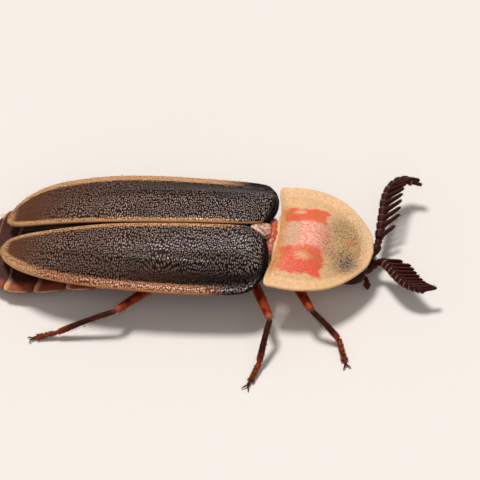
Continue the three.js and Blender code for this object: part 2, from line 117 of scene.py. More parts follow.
# Middle and hind thorax: x, half width, underside and top.
THORAX = np.array([
    [1.06, 0.95, 0.95, 1.66], [0.8, 1.3, 0.8, 1.68], [0.2, 1.55, 0.72, 1.64], [-0.25, 1.6, 0.7, 1.36],
    [-1.2, 1.6, 0.68, 1.34], [-2.0, 1.5, 0.68, 1.3], [-2.4, 1.35, 0.74, 1.24],
])
# Abdomen: the front, then the rear end of each segment: x, half width, underside, side and top.
ABDOMEN = np.array([
    [-2.55, 1.45, 0.6, 0.94, 1.2], [-3.55, 1.7, 0.5, 0.88, 1.14], [-4.6, 1.82, 0.42, 0.78, 1.02],
    [-5.65, 1.83, 0.36, 0.67, 0.9], [-6.75, 1.97, 0.33, 0.58, 0.8], [-7.8, 1.9, 0.32, 0.52, 0.74],
    [-8.5, 1.42, 0.34, 0.5, 0.7], [-9.0, 0.62, 0.4, 0.5, 0.62],
])
# Plates of the light organ: front, rear and half width, then their underside, side and top.
LANTERN_PLATES = ((-6.87, -7.56, 1.13), (-7.64, -8.33, 1.0))
LANTERN_HEIGHTS = (0.24, 0.33, 0.42)

HEAD_CENTRE, HEAD_RADII = np.array([3.56, 0, 0.63]), np.array([0.72, 0.82, 0.38])
EYE_CENTRE, EYE_RADII = np.array([3.72, 0.55, 0.66]), np.array([0.52, 0.4, 0.3])
PALP_PATH = np.array([[4.16, 0.34, 0.26], [4.24, 0.52, 0.23], [4.31, 0.85, 0.23]])
NECK_PATH = [[2.88, 0, 0.9], [3.4, 0, 0.75]]
JAW_PATH = np.array([[3.96, 0.16, 0.46], [4.2, 0.24, 0.42], [4.36, 0.13, 0.38], [4.38, 0, 0.36]])
LIP_CENTRE, LIP_RADII = [4.2, 0, 0.52], [0.16, 0.26, 0.1]

# Profiles of slender pieces: pairs of the share of the length and the radius there, in
# millimetres, or for an antenna's cup in shares of its own radius.
NECK = [(0, 0.3), (1, 0.36)]
JAW = [(0, 0.11), (0.4, 0.08), (0.8, 0.04), (1, 0.008)]
PALP_FIRST, PALP_SECOND = [(0, 0.06), (0.8, 0.08), (1, 0.05)], [(0, 0.05), (0.8, 0.09), (1, 0.05)]
PALP_SPEAR = [(0, 0.04), (0.12, 0.09), (0.35, 0.125), (0.7, 0.08), (0.93, 0.03), (1, 0.006)]
SCAPE = [(0, 0.09), (0.06, 0.13), (0.5, 0.165), (0.88, 0.17), (0.96, 0.14), (1, 0.06)]
PEDICEL = [(0, 0.07), (0.3, 0.11), (0.8, 0.13), (1, 0.06)]
CUP = np.array([(0, 0.6), (0.12, 0.8), (0.5, 0.98), (0.84, 1.06), (0.94, 0.9), (1, 0.55)])
BRANCH = [(0, 0.1), (0.12, 0.1), (0.3, 0.075), (0.7, 0.062), (0.92, 0.05), (1, 0.015)]
THIGH = [(0, 0.1), (0.08, 0.14), (0.3, 0.165), (0.6, 0.16), (0.86, 0.14), (0.96, 0.125), (1, 0.05)]
SHIN = [(0, 0.05), (0.03, 0.095), (0.12, 0.1), (0.5, 0.1), (0.9, 0.115), (0.97, 0.1), (1, 0.05)]
SPUR = [(0, 0.025), (1, 0.004)]
FOOT_JOINT = [(0, 0.035), (0.1, 0.055), (0.5, 0.075), (0.86, 0.1), (0.96, 0.085), (1, 0.03)]
FOOT_LOBE = [(0, 0.035), (0.3, 0.06), (0.75, 0.07), (0.95, 0.05), (1, 0.012)]
LAST_JOINT = [(0, 0.03), (0.2, 0.04), (0.85, 0.06), (1, 0.03)]
CLAW = [(0, 0.032), (0.5, 0.026), (1, 0.004)]

# Antennae: the shaft's path, then the directions of its first and its last branch, their lengths,
# and how much wider than thick they are. The branches stand closer together to the tip, by the
# power of the spacing.
BRANCHES = 11
BRANCH_SPACING = 1.12
SCAPE_END, PEDICEL_START, PEDICEL_END, CUPS_START = 0.125, 0.12, 0.185, 0.2
CUP_FIRST, CUP_LAST = 0.165, 0.12
ANTENNA_POSES = {
    "left": (
        [[4.26, 0.27, 0.66], [4.45, 0.52, 0.74], [4.51, 0.98, 0.8], [4.51, 1.72, 0.92],
         [4.52, 2.48, 1.03], [4.63, 2.9, 1.07], [4.84, 3.17, 1.08], [5.1, 3.29, 1.06], [5.36, 3.2, 1.0]],
        [[0.83, 0.52, 0.21], [0.9, -0.35, -0.15]],
        [0.72, 0.22],
        [1.35, 1.35],
    ),
    "right": (
        [[4.28, -0.2, 0.66], [4.56, -0.13, 0.78], [4.8, -0.15, 0.86], [5.05, -0.4, 0.88],
         [5.32, -0.74, 0.9], [5.58, -1.0, 0.9], [5.82, -1.14, 0.9], [6.08, -1.2, 0.86], [6.32, -1.2, 0.8]],
        [[0.98, 0.03, 0.16], [0.96, 0.22, 0.14]],
        [0.76, 0.3],
        [1.8, 1.3],
    ),
}

# Foot: where its joints start, as shares of the way from the ankle to the toe.
FOOT_SHARES = [0, 0.36, 0.58, 0.77]
# No hair of a leg roots lower than this.
HAIR_FLOOR = 0.06
# Legs: hip, knee, ankle, toe and claw tips.
LEGS = {
    "front_right": [[1.6, -0.6, 0.78], [2.75, -2.52, 1.1], [3.64, -2.98, 0.24], [3.93, -3.75, 0.09],
                    [4.05, -4.04, 0.06]],
    "mid_right": [[0.3, -0.62, 0.64], [1.42, -2.94, 1.08], [1.14, -4.14, 0.24], [0.93, -4.81, 0.09],
                  [0.8, -5.13, 0.06]],
    "hind_right": [[-2.05, -0.72, 0.6], [-3.85, -2.87, 0.98], [-5.85, -3.31, 0.24], [-6.54, -3.43, 0.09],
                   [-6.8, -3.53, 0.06]],
    "front_left": [[1.6, 0.6, 0.78], [2.25, 1.95, 1.02], [2.5, 2.55, 0.24], [2.42, 2.98, 0.09],
                   [2.38, 3.24, 0.06]],
    "mid_left": [[0.3, 0.62, 0.64], [0.6, 2.2, 1.0], [0.1, 2.75, 0.24], [-0.2, 3.2, 0.09],
                 [-0.34, 3.46, 0.06]],
    "hind_left": [[-2.05, 0.72, 0.6], [-3.6, 2.3, 0.95], [-5.3, 2.6, 0.24], [-6.1, 2.85, 0.09],
                  [-6.38, 2.96, 0.06]],
}


def mix(a, b, share):
    """From a, where the share is 0, to b, where it is 1."""
    return a + (b - a) * share


def step(low, high, x):
    """0 below low, 1 above high, and a smooth s-curve between."""
    t = np.clip((x - low) / (high - low), 0, 1)
    return t * t * (3 - 2 * t)


def unit(v):
    """Vectors cut to length 1."""
    return v / np.maximum(np.linalg.norm(v, axis=-1, keepdims=True), 1e-9)


def curve(stations, share):
    """Catmull-Rom curve through stations: each piece is the cubic that leaves a station along the
    line between its neighbours. Share runs evenly over the stations, from 0 to 1."""
    stations = np.asarray(stations, float)
    held = np.vstack([2 * stations[:1] - stations[1:2], stations, 2 * stations[-1:] - stations[-2:-1]])
    place = np.clip(share, 0, 1) * (len(stations) - 1)
    piece = np.minimum(place.astype(int), len(stations) - 2)
    t = (place - piece)[..., None]
    a, b, c, d = (held[piece + k] for k in range(4))
    return 0.5 * (2 * b + (c - a) * t + (2 * a - 5 * b + 4 * c - d) * t**2 + (3 * b - a - 3 * c + d) * t**3)


def run(stations, share):
    """The same curve, with the share measured along its length."""
    fine = np.linspace(0, 1, 500)
    points = curve(stations, fine)
    length = np.r_[0, np.cumsum(np.linalg.norm(np.diff(points, axis=0), axis=1))]
    return curve(stations, np.interp(share, length / length[-1], fine))


def blend(stations, x):
    """Rows of stations read at x, where the first column runs, with straight lines between."""
    stations = stations[np.argsort(stations[:, 0])]
    return np.stack([np.interp(x, stations[:, 0], column) for column in stations[:, 1:].T], -1)


def grid_faces(rows, columns, wrap=False):
    """Two triangles for each cell of a grid of points, and round to the first column if it wraps."""
    i, j = np.meshgrid(np.arange(rows - 1), np.arange(columns if wrap else columns - 1), indexing="ij")
    a = i * columns + j
    b = i * columns + (j + 1) % columns
    c, d = a + columns, b + columns
    return np.stack([a, b, d, a, d, c], -1).reshape(-1, 3)


def loft(rings):
    """A closed skin through rings of points, with a fan to a point in the middle of each end."""
    rows, columns = rings.shape[:2]
    points = np.vstack([rings.reshape(rows * columns, -1), rings[:1].mean(1), rings[-1:].mean(1)])
    j = np.arange(columns)
    k = (j + 1) % columns
    base = (rows - 1) * columns
    start, end = rows * columns, rows * columns + 1
    fans = [np.stack([start + 0 * j, k, j], -1), np.stack([end + 0 * j, base + j, base + k], -1)]
    return points, np.vstack([grid_faces(rows, columns, True), *fans])


def pillow(top, bottom, wrap=False):
    """A closed plate from two grids of points that share their rims."""
    rows, columns = top.shape[:2]
    points = np.vstack([top.reshape(rows * columns, -1), bottom.reshape(rows * columns, -1)])
    faces = grid_faces(rows, columns, wrap)
    faces = np.vstack([faces, faces[:, ::-1] + rows * columns])
    key = np.round(points[:, :3] / 1e-5).astype(np.int64)
    _, first, back = np.unique(key, axis=0, return_index=True, return_inverse=True)
    faces = back.reshape(-1)[faces]
    whole = (faces[:, 0] != faces[:, 1]) & (faces[:, 1] != faces[:, 2]) & (faces[:, 2] != faces[:, 0])
    return points[first], faces[whole]


def join(*parts):
    """Several closed skins as one list of points and one of faces."""
    starts = np.cumsum([0] + [len(points) for points, _ in parts[:-1]])
    return np.vstack([points for points, _ in parts]), np.vstack(
        [faces + start for (_, faces), start in zip(parts, starts)])


def marked(part, *values):
    """The same skin with further columns of values behind its points' places."""
    points, faces = part
    columns = [np.broadcast_to(value, (len(points),))[:, None] for value in values]
    return np.hstack([points, *columns]), faces


def plate(top, thick, edge, above, below, wrap=False):
    """A closed plate under a grid of points. Its middle lies half its thickness down, and each face
    stands off from there by that half times the edge's rounding. Each face has its own marks."""
    half = np.zeros(top.shape)
    half[..., 2] = thick / 2
    upper, lower = top - half * (1 - edge[..., None]), top - half * (1 + edge[..., None])
    return pillow(np.concatenate([upper, above], -1), np.concatenate([lower, below], -1), wrap)


def limb(path, profile, columns=16, up=(0, 0, 1), flat=1.0, rows=40, bend=0.0):
    """A tapering piece along a path: at each share of the way an oval ring square to it, whose
    radius is read from the profile, and is flattened in height by a share of its own. A bend bows
    it upward in the middle. A point's fourth column is its share of the way."""
    shares = np.linspace(0, 1, rows)
    shares = np.sort(np.r_[shares, [s for s, _ in profile if 0 < s < 1]])
    radius = np.interp(shares, *np.array(profile).T)
    centre = run(path, shares) if len(path) > 2 else mix(*np.asarray(path, float)[:, None], shares[:, None])
    along = unit(np.gradient(centre, axis=0))
    across = unit(np.cross(np.asarray(up, float), along))
    upward = np.cross(along, across)
    centre = centre + upward * (bend * np.sin(np.pi * shares))[:, None]
    angle = np.linspace(0, 2 * np.pi, columns, endpoint=False)[None, :, None]
    rings = centre[:, None] + radius[:, None, None] * (
        across[:, None] * np.cos(angle) + upward[:, None] * np.sin(angle) * flat)
    return loft(np.concatenate([rings, np.broadcast_to(shares[:, None, None], (*rings.shape[:2], 1))], -1))


def around(way, up, turn):
    """Directions square to a way, each turned about it by its own angle."""
    side = unit(np.cross(way, up))
    return side * np.cos(turn) + np.cross(way, side) * np.sin(turn)


def spikes(roots, directions, normals, lengths, width):
    """Tapering hairs of three sides: a ring at the root, one half way that is raised along the
    normal by 0.15 of the length, and a tip."""
    count = len(roots)
    directions, lengths = unit(directions), np.broadcast_to(lengths, (count,))[:, None]
    side = unit(np.cross(directions, normals))
    rise = np.cross(side, directions)
    turns = np.radians([90, 210, 330])
    ring = [side * np.cos(turn) + rise * np.sin(turn) for turn in turns]
    middle = roots + directions * lengths * 0.5 + normals * lengths * 0.15
    tip = roots + directions * lengths
    sink = roots - directions * lengths * 0.15
    low, high = ([place + r * width * half for r in ring] for place, half in ((sink, 0.5), (middle, 0.36)))
    points = np.stack([*low, *high, tip], 1)
    template = np.array([[0, 2, 1], [0, 1, 4], [0, 4, 3], [1, 2, 5], [1, 5, 4], [2, 0, 3], [2, 3, 5],
                         [3, 4, 6], [4, 5, 6], [5, 3, 6]])
    faces = template[None] + (np.arange(count) * 7)[:, None, None]
    return points.reshape(-1, 3), faces.reshape(-1, 3)


def cells(x, y, jitter, seed):
    """For each point the distance to the nearest of points strewn one to a unit cell, at a random
    place of its own in it, and a random value of that one."""
    table = np.random.default_rng(seed).random((128, 128, 3))
    column, row = np.floor(x).astype(int), np.floor(y).astype(int)
    best, value = np.full(np.shape(x), 9.0), np.zeros(np.shape(x))
    for i in (-1, 0, 1):
        for j in (-1, 0, 1):
            spot = table[(column + i) % 128, (row + j) % 128]
            dx = column + i + 0.5 + (spot[..., 0] - 0.5) * jitter - x
            dy = row + j + 0.5 + (spot[..., 1] - 0.5) * jitter - y
            distance = np.hypot(dx, dy)
            near = distance < best
            best, value = np.where(near, distance, best), np.where(near, spot[..., 2], value)
    return best, value


def granules(x, y, pitch, stretch=1.5):
    """Grains about one pitch apart along x and longer across it, in rows that bend to and fro: 1 on
    each top, 0 between them."""
    waved = x + 0.2 * np.sin(y * 2.3 + x * 0.9) + 0.05 * np.sin(y * 7.1 - x * 3)
    distance, value = cells(waved / pitch, (y + 0.06 * np.sin(x * 3.1)) / pitch / stretch, 0.65, 3)
    return (1 - step(0.06, 0.5, distance)) * mix(0.7, 1.0, value)


class Wire:
    """A value in a material. Python's signs between wires and numbers add the Math nodes."""

    def __init__(self, paint, socket):
        self.paint, self.socket = paint, socket

    def maths(self, operation, *values):
        return self.paint.node("ShaderNodeMath", {"operation": operation}, dict(enumerate(values)))

    def __add__(self, other):
        return self.maths("ADD", self, other)

    def __sub__(self, other):
        return self.maths("SUBTRACT", self, other)

    def __rsub__(self, other):
        return self.maths("SUBTRACT", other, self)

    def __mul__(self, other):
        return self.maths("MULTIPLY", self, other)

    __radd__, __rmul__ = __add__, __mul__


class Paint:
    """A material made of nodes."""

    def __init__(self, name):
        self.material = bpy.data.materials.new(name)
        self.material.use_nodes = True
        self.tree = self.material.node_tree
        self.tree.nodes.clear()

    def node(self, kind, settings, sockets, output=0):
        """One node: its settings first, then its sockets, and the wire of one output."""
        made = self.tree.nodes.new(kind)
        for key, value in settings.items():
            if key == "stops":
                ramp = made.color_ramp
                while len(ramp.elements) < len(value):
                    ramp.elements.new(1.0)
                for element, (place, colour) in zip(ramp.elements, value):
                    element.position, element.color = place, colour
            else:
                setattr(made, key, value)
        for key, value in sockets.items():
            if isinstance(value, Wire):
                self.tree.links.new(value.socket, made.inputs[key])
            else:
                made.inputs[key].default_value = value
        return Wire(self, made.outputs[output])

    def mark(self, name):
        """A value that the piece's points carry."""
        return self.node("ShaderNodeAttribute", {"attribute_name": name}, {}, 2)

    def place(self):
        return self.node("ShaderNodeTexCoord", {}, {}, 3)

    def noise(self, size, detail=3.0):
        """Cloudy noise from 0 to 1 with blobs of about that size, in millimetres."""
        sockets = {"Vector": self.place(), "Scale": 1 / (size * MM), "Detail": detail, "Roughness": 0.55}
        return self.node("ShaderNodeTexNoise", {}, sockets)

    def cells(self, size):
        """Distance to the nearest of points strewn about that far apart, in millimetres."""
        sockets = {"Vector": self.place(), "Scale": 1 / (size * MM)}
        return self.node("ShaderNodeTexVoronoi", {"feature": "F1"}, sockets)

    def dashes(self, along, across, bend_size, bend):
        """Distance to the nearest of points strewn so far apart along x and along y, 0 to about 1,
        where the rows bend to and fro."""
        sockets = {"Vector": self.place(), "Scale": 1 / (bend_size * MM), "Detail": 0.0}
        turn = self.node("ShaderNodeTexNoise", {}, sockets, 1)
        told = {0: turn, 1: (bend * MM, bend * MM, 0), 2: self.place()}
        bent = self.node("ShaderNodeVectorMath", {"operation": "MULTIPLY_ADD"}, told)
        sizes = (1 / (along * MM), 1 / (across * MM), 0)
        scaled = self.node("ShaderNodeVectorMath", {"operation": "MULTIPLY"}, {0: bent, 1: sizes})
        sockets = {"Vector": scaled, "Scale": 1.0, "Randomness": 0.7}
        return self.node("ShaderNodeTexVoronoi", {"voronoi_dimensions": "2D"}, sockets)

    def ramp(self, value, *stops):
        """A value carried through stops of place and result, with smooth curves between."""
        told = [(place, (result,) * 3 + (1,)) for place, result in stops]
        return self.node("ShaderNodeValToRGB", {"stops": told}, {"Fac": value})

    def colours(self, share, first, second):
        """From the first colour, where the share is 0, to the second."""
        settings = {"data_type": "RGBA", "blend_type": "MIX", "clamp_factor": True}
        return self.node("ShaderNodeMix", settings, {0: share, 6: first, 7: second}, 2)

    def coat(self, colour, rough, height=None, depth=0.0, **constants):
        """The shell's shader. The height is raised by the depth, in millimetres, and capitals and
        spaces of the constants' names are put back."""
        sockets = {"Base Color": colour, "Roughness": rough}
        for key, value in constants.items():
            sockets[key.replace("_", " ").title().replace("Ior", "IOR")] = value
        if height is not None:
            bump = {"Strength": 1.0, "Distance": depth * MM, "Height": height}
            sockets["Normal"] = self.node("ShaderNodeBump", {}, bump)
        shell = self.node("ShaderNodeBsdfPrincipled", {}, sockets)
        end = self.tree.nodes.new("ShaderNodeOutputMaterial")
        self.tree.links.new(shell.socket, end.inputs["Surface"])
        return self.material


def tone(red, green, blue):
    """A colour of the eye's scale, 0 to 255, as light."""
    share = np.array([red, green, blue]) / 255
    light = np.where(share <= 0.04045, share / 12.92, ((share + 0.055) / 1.055) ** 2.4)
    return (*light.tolist(), 1.0)


def piece(name, part, paint, slot, nodes=(), marks=(), roots=None):
    """A mesh object in the model's frame. Columns past the place become the named marks. Roots,
    one place on the unwrapped skin for each hair, give the hairs their map."""
    points, faces = part
    a, b, c = (points[faces[:, k], :3] for k in range(3))
    if np.einsum("ij,ij->", a, np.cross(b, c)) < 0:
        faces = faces[:, ::-1]
    mesh = bpy.data.meshes.new(name)
    mesh.from_pydata(((points[:, :3] + SHIFT) * MM).tolist(), [], faces.tolist())
    mesh.polygons.foreach_set("use_smooth", np.ones(len(faces), bool))
    for column, mark in enumerate(marks):
        attribute = mesh.attributes.new(mark, "FLOAT", "POINT")
        attribute.data.foreach_set("value", points[:, 3 + column].astype(np.float32))
    if roots is not None:
        per_hair = len(points) // len(roots)
        turn = np.arange(per_hair) * 2 * np.pi / per_hair
        patch = roots[:, None] + 0.0015 * np.stack([np.cos(turn), np.sin(turn)], -1)
        layer = mesh.uv_layers.new(name="OFBake")
        layer.uv.foreach_set("vector", patch.reshape(-1, 2)[faces.ravel()].astype(np.float32).ravel())
    mesh.update()
    made = bpy.data.objects.new(name, mesh)
    bpy.context.scene.collection.objects.link(made)
    mesh.materials.append(paint)
    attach(made, "root")
    if nodes:
        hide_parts(*nodes)
    return made


def told(part, *marks):
    """The skin with its share along the piece replaced by marks: values, or functions of the share."""
    points, faces = part
    share = points[:, 3]
    columns = [mark(share) if callable(mark) else np.full(len(share), float(mark)) for mark in marks]
    return np.hstack([points[:, :3], np.stack(columns, 1)]), faces


def rounded(x, width):
    """0 on an edge and 1 past the width from it, along a quarter circle."""
    return np.sqrt(np.clip(1 - (1 - np.clip(x / width, 0, 1)) ** 2, 0, 1))


def ridge(x, centre, width):
    """A smooth ridge of height 1."""
    return np.exp(-(((x - centre) / width) ** 2))


def window(x, low, high, soft):
    """1 between low and high, with soft edges."""
    return step(low - soft, low + soft, x) * (1 - step(high - soft, high + soft, x))


def ball(centre, radii, rows=32, columns=48):
    """An ellipsoid of rings round its upright axis, with the share running from its top down."""
    tilt = np.linspace(0.03, np.pi - 0.03, rows)[:, None]
    turn = np.linspace(0, 2 * np.pi, columns, endpoint=False)[None]
    spot = np.stack([np.sin(tilt) * np.cos(turn), np.sin(tilt) * np.sin(turn), np.cos(tilt) + 0 * turn], -1)
    share = np.broadcast_to(tilt / np.pi, spot.shape[:2])[..., None]
    return loft(np.concatenate([np.asarray(centre) + np.asarray(radii) * spot, share], -1))


def strewn(count_along, count_across):
    """Places from 0 to 1 each way, one in each cell of a grid and off its middle by chance."""
    i, j = np.meshgrid(np.arange(count_along), np.arange(count_across), indexing="ij")
    along = (i + draw.random(i.shape)) / count_along
    across = (j + draw.random(j.shape)) / count_across
    return along.ravel(), across.ravel()


def stem_hairs(stems, span, lean, up, lengths, width):
    """Hairs on all sides of stems, each a path, its half thickness and its number of hairs. They
    root by chance in a span of its length and at any angle about it, but not near the floor, and
    lean along it and away from it by two shares. Gives the hairs and their places on the skins'
    unwrap: along the stems in turn, and round them."""
    spots, places = [], []
    for k, (path, thick, count) in enumerate(stems):
        where = draw.uniform(*span, count)
        turn = draw.uniform(0, 2 * np.pi, count)[:, None]
        way = unit(run(path, np.minimum(where + 0.05, 1)) - run(path, where - 0.05))
        normal = around(way, up, turn)
        spot = run(path, where) + normal * thick
        keep = spot[:, 2] > HAIR_FLOOR
        spots.append(np.stack([spot, way * lean[0] + normal * lean[1], normal])[:, keep])
        places.append(np.stack([(k + where) / len(stems), turn[:, 0] / (2 * np.pi)], -1)[keep])
    spot, lie, normal = np.concatenate(spots, 1)
    part = spikes(spot, lie, normal, draw.uniform(*lengths, len(spot)), width)
    return part, mix(0.01, 0.99, np.vstack(places))


def on_surface(surface, u, v, small=1e-3):
    """Points of a surface of two parameters, its two directions and its normal there."""
    spot = surface(u, v)
    first = unit(surface(u + small, v) - surface(u - small, v))
    second = unit(surface(u, v + small) - surface(u, v - small))
    return spot, first, second, unit(np.cross(first, second))


# Materials.


def wing_case_paint():
    """Near black in front, dark grey brown to the rear, with tan borders, under short crests that shine:
    their pale colour is a painted glint, and the darker colour of the hollows between them is
    painted shade."""
    paint = Paint("wing_case")
    rear = paint.ramp(paint.mark("share"), (0.12, 0.0), (0.86, 1.0))
    cloud, rough = paint.noise(0.6), paint.mark("rough")
    dash = paint.dashes(0.06, 0.1, 0.9, 0.5)
    # The crests carry painted glints and the hollows painted shade.
    crest = paint.ramp(dash + rear * 0.07, (0.13, 1.0), (0.4, 0.0)) * rough
    hollow_shade = paint.ramp(dash, (0.3, 0.0), (0.52, 1.0)) * rough
    worn = paint.ramp(paint.mark("tan") + paint.noise(0.1, 2.0) * 0.5 - 0.25, (0.2, 0.0), (0.8, 1.0))
    dark = paint.colours(rear + cloud * 0.2 - 0.1, tone(12, 7, 7), tone(96, 58, 38))
    amber = paint.mark("amber")
    edge = paint.colours(amber, tone(192, 148, 102), tone(174, 110, 72))
    edge = paint.colours(cloud * 0.4, edge, tone(224, 170, 128))
    plate = paint.colours(worn, dark, edge)
    # Painted shade: a darker copy of the plate's colours, laid in the hollows.
    below = paint.colours(worn, paint.colours(rear, tone(4, 2, 2), tone(42, 23, 15)),
                          paint.colours(amber, tone(146, 92, 54), tone(92, 46, 30)))
    # Painted glints: pale colours laid on the crests, beside the coat's real shine.
    pale = paint.colours(rear, tone(186, 162, 154), tone(206, 164, 138))
    above = paint.colours(worn, pale, paint.colours(amber, tone(248, 208, 160), tone(240, 184, 144)))
    # How much painted glint each crest gets, dimmed where the sheen mark lays painted shade.
    glint_share = crest * (0.35 + cloud) * paint.mark("sheen")
    colour = paint.colours(glint_share, paint.colours(hollow_shade, plate, below), above)
    shine = {"coat_weight": crest * 0.5, "coat_roughness": 0.25, "specular_ior_level": 0.08}
    return paint.coat(colour, 0.45, crest + paint.noise(0.03, 2.0) * 0.2, 0.012, **shine)


def hair_paint(name, colour, rough=0.4):
    """Fine hairs, a little lighter and darker by place."""
    paint = Paint(name)
    dim = tuple(c * 0.6 for c in colour[:3]) + (1.0,)
    return paint.coat(paint.colours(paint.noise(0.25), dim, colour), rough, specular_ior_level=0.3)


def pronotum_paint():
    """Cream with mottled coral patches, a pink middle flecked with painted glints and a dusky, speckled
    front.
    """
    paint = Paint("pronotum")
    cloud, fine, blot = paint.noise(0.35), paint.noise(0.06, 3.0), paint.noise(0.16)
    cream = paint.colours(cloud, tone(216, 172, 122), tone(240, 196, 148))
    milk = paint.colours(paint.mark("milk") * (0.5 + blot * 0.6), cream, tone(218, 170, 142))
    # The pink middle is real colour; its paler fine flecks are painted glints.
    rosy = paint.colours(paint.ramp(fine, (0.4, 0.0), (0.62, 1.0)), tone(228, 120, 100), tone(246, 192, 170))
    pink = paint.colours(paint.mark("pink"), milk, rosy)
    hot = paint.colours(paint.mark("hot") * blot * 1.5, pink, tone(246, 96, 126))
    red = paint.ramp(paint.mark("red") + blot * 0.6 + fine * 0.3 - 0.45, (0.15, 0.0), (0.75, 1.0))
    coral = paint.colours(paint.ramp(blot, (0.38, 0.0), (0.62, 1.0)), tone(214, 98, 50), tone(244, 62, 32))
    coral = paint.colours(paint.mark("orange") * (0.4 + blot), coral, tone(224, 100, 38))
    patched = paint.colours(red * 0.95, hot, coral)
    dusk, dark = paint.mark("dusk"), paint.mark("dark")
    dull = paint.colours(dusk * 0.8, patched, paint.colours(blot, tone(158, 128, 82), tone(206, 166, 116)))
    cool = paint.colours(dark * 0.7, dull, tone(126, 108, 98))
    dots = paint.cells(0.06)
    speck = paint.ramp(dots, (0.24, 1.0), (0.46, 0.0))
    speck = speck * paint.ramp(blot + fine * 0.5, (0.4, 0.5), (0.75, 1.0))
    shade = paint.colours(dark, tone(84, 76, 50), tone(22, 22, 30))
    dotted = paint.colours(speck * (dusk * 1.1 + dark * 0.6), cool, shade)
    spot = paint.colours(paint.mark("spot"), dotted, tone(206, 116, 76))
    rim = paint.colours(paint.mark("rear") * (0.5 + blot * 0.6), spot, tone(208, 132, 62))
    height = fine + dots * -0.7
    skin = {"subsurface_weight": 0.2, "subsurface_radius": (0.0009, 0.0004, 0.0002), "subsurface_scale": 0.3}
    return paint.coat(rim, 0.4 + fine * 0.15, height, 0.012, **skin)


def scutellum_paint():
    """Pinkish grey, moist and finely wrinkled, running to orange red in front, where pale flecks are painted
    glints.
    """
    paint = Paint("scutellum")
    cloud, fine = paint.noise(0.12), paint.noise(0.05, 2.0)
    pale = paint.colours(paint.ramp(cloud, (0.4, 0.0), (0.62, 1.0)), tone(142, 88, 66), tone(224, 186, 164))
    vivid = paint.colours(paint.ramp(cloud, (0.35, 0.0), (0.65, 1.0)), tone(150, 58, 26), tone(222, 92, 46))
    # Painted glints: pale flecks over the orange red.
    vivid = paint.colours(paint.ramp(fine, (0.55, 0.0), (0.75, 1.0)) * 0.6, vivid, tone(238, 176, 140))
    tan = paint.colours(cloud, tone(120, 62, 32), tone(196, 132, 84))
    front = paint.colours(paint.mark("low"), vivid, tan)
    front = paint.colours(paint.mark("spot"), front, tone(232, 74, 112))
    return paint.coat(paint.colours(paint.mark("front"), pale, front), 0.3, cloud + fine * 0.4, 0.03)


def body_paint():
    """Dark brown plates with reddish, pale-rimmed flaps at the segments' corners."""
    paint = Paint("body")
    cloud = paint.noise(0.3)
    dark = paint.colours(cloud, tone(42, 18, 12), tone(80, 38, 26))
    flap = paint.colours(paint.mark("flap"), dark, paint.colours(cloud, tone(118, 52, 32), tone(176, 92, 60)))
    colour = paint.colours(paint.mark("rim"), flap, tone(228, 168, 128))
    return paint.coat(colour, 0.45, paint.noise(0.05, 3.0), 0.02, specular_ior_level=0.14)


def lantern_paint():
    """The light organ: cream, waxy and finely grained."""
    paint = Paint("lantern")
    colour = paint.colours(paint.noise(0.2), tone(222, 214, 160), tone(246, 242, 206))
    return paint.coat(colour, 0.45, paint.cells(0.05), 0.01, subsurface_weight=0.3, subsurface_scale=0.0004)


def head_paint():
    """Blackish brown with a dull shine."""
    paint = Paint("head")
    colour = paint.colours(paint.noise(0.25), tone(50, 19, 11), tone(102, 42, 25))
    return paint.coat(colour, 0.4, paint.noise(0.05, 3.0), 0.012, specular_ior_level=0.15)


def eye_paint():
    """Black with a red brown tinge, with the tiny lenses as a fine grain."""
    paint = Paint("eye")
    lens = paint.cells(0.028)
    colour = paint.colours(lens, tone(62, 22, 14), tone(22, 8, 6))
    return paint.coat(colour, 0.36, 1 - lens, 0.008, specular_ior_level=0.12)


def antenna_paint():
    """Dark red brown, with pale skin at the joints."""
    paint = Paint("antenna")
    dark = paint.colours(paint.noise(0.15), tone(30, 8, 5), tone(72, 22, 12))
    colour = paint.colours(paint.mark("joint"), dark, tone(188, 150, 140))
    return paint.coat(colour, 0.42, paint.noise(0.03, 3.0), 0.012, specular_ior_level=0.12)


def leg_paint():
    """Reddish brown thighs, blackish shins, and paler joints."""
    paint = Paint("leg")
    cloud = paint.noise(0.2)
    dark = paint.colours(cloud, tone(20, 6, 3), tone(50, 16, 6))
    warm = paint.colours(paint.ramp(cloud, (0.35, 0.0), (0.65, 1.0)), tone(104, 24, 5), tone(170, 62, 20))
    colour = paint.colours(paint.mark("warm"), dark, warm)
    joint = paint.colours(paint.mark("joint"), colour, tone(188, 114, 82))
    return paint.coat(joint, 0.4, paint.noise(0.04, 3.0), 0.012, specular_ior_level=0.14)


def membrane_paint():
    """Smoky brown wing skin with dark veins."""
    paint = Paint("wing_membrane")
    smoke = paint.colours(paint.noise(0.3), tone(34, 27, 24), tone(70, 58, 50))
    colour = paint.colours(paint.mark("vein"), smoke, tone(22, 15, 12))
    return paint.coat(colour, 0.3, paint.noise(0.08), 0.006)


def floor_paint():
    """Plain pale floor."""
    paint = Paint("floor")
    return paint.coat(paint.colours(paint.noise(30.0), tone(226, 221, 217), tone(232, 228, 224)), 0.7)


# Wing cases.


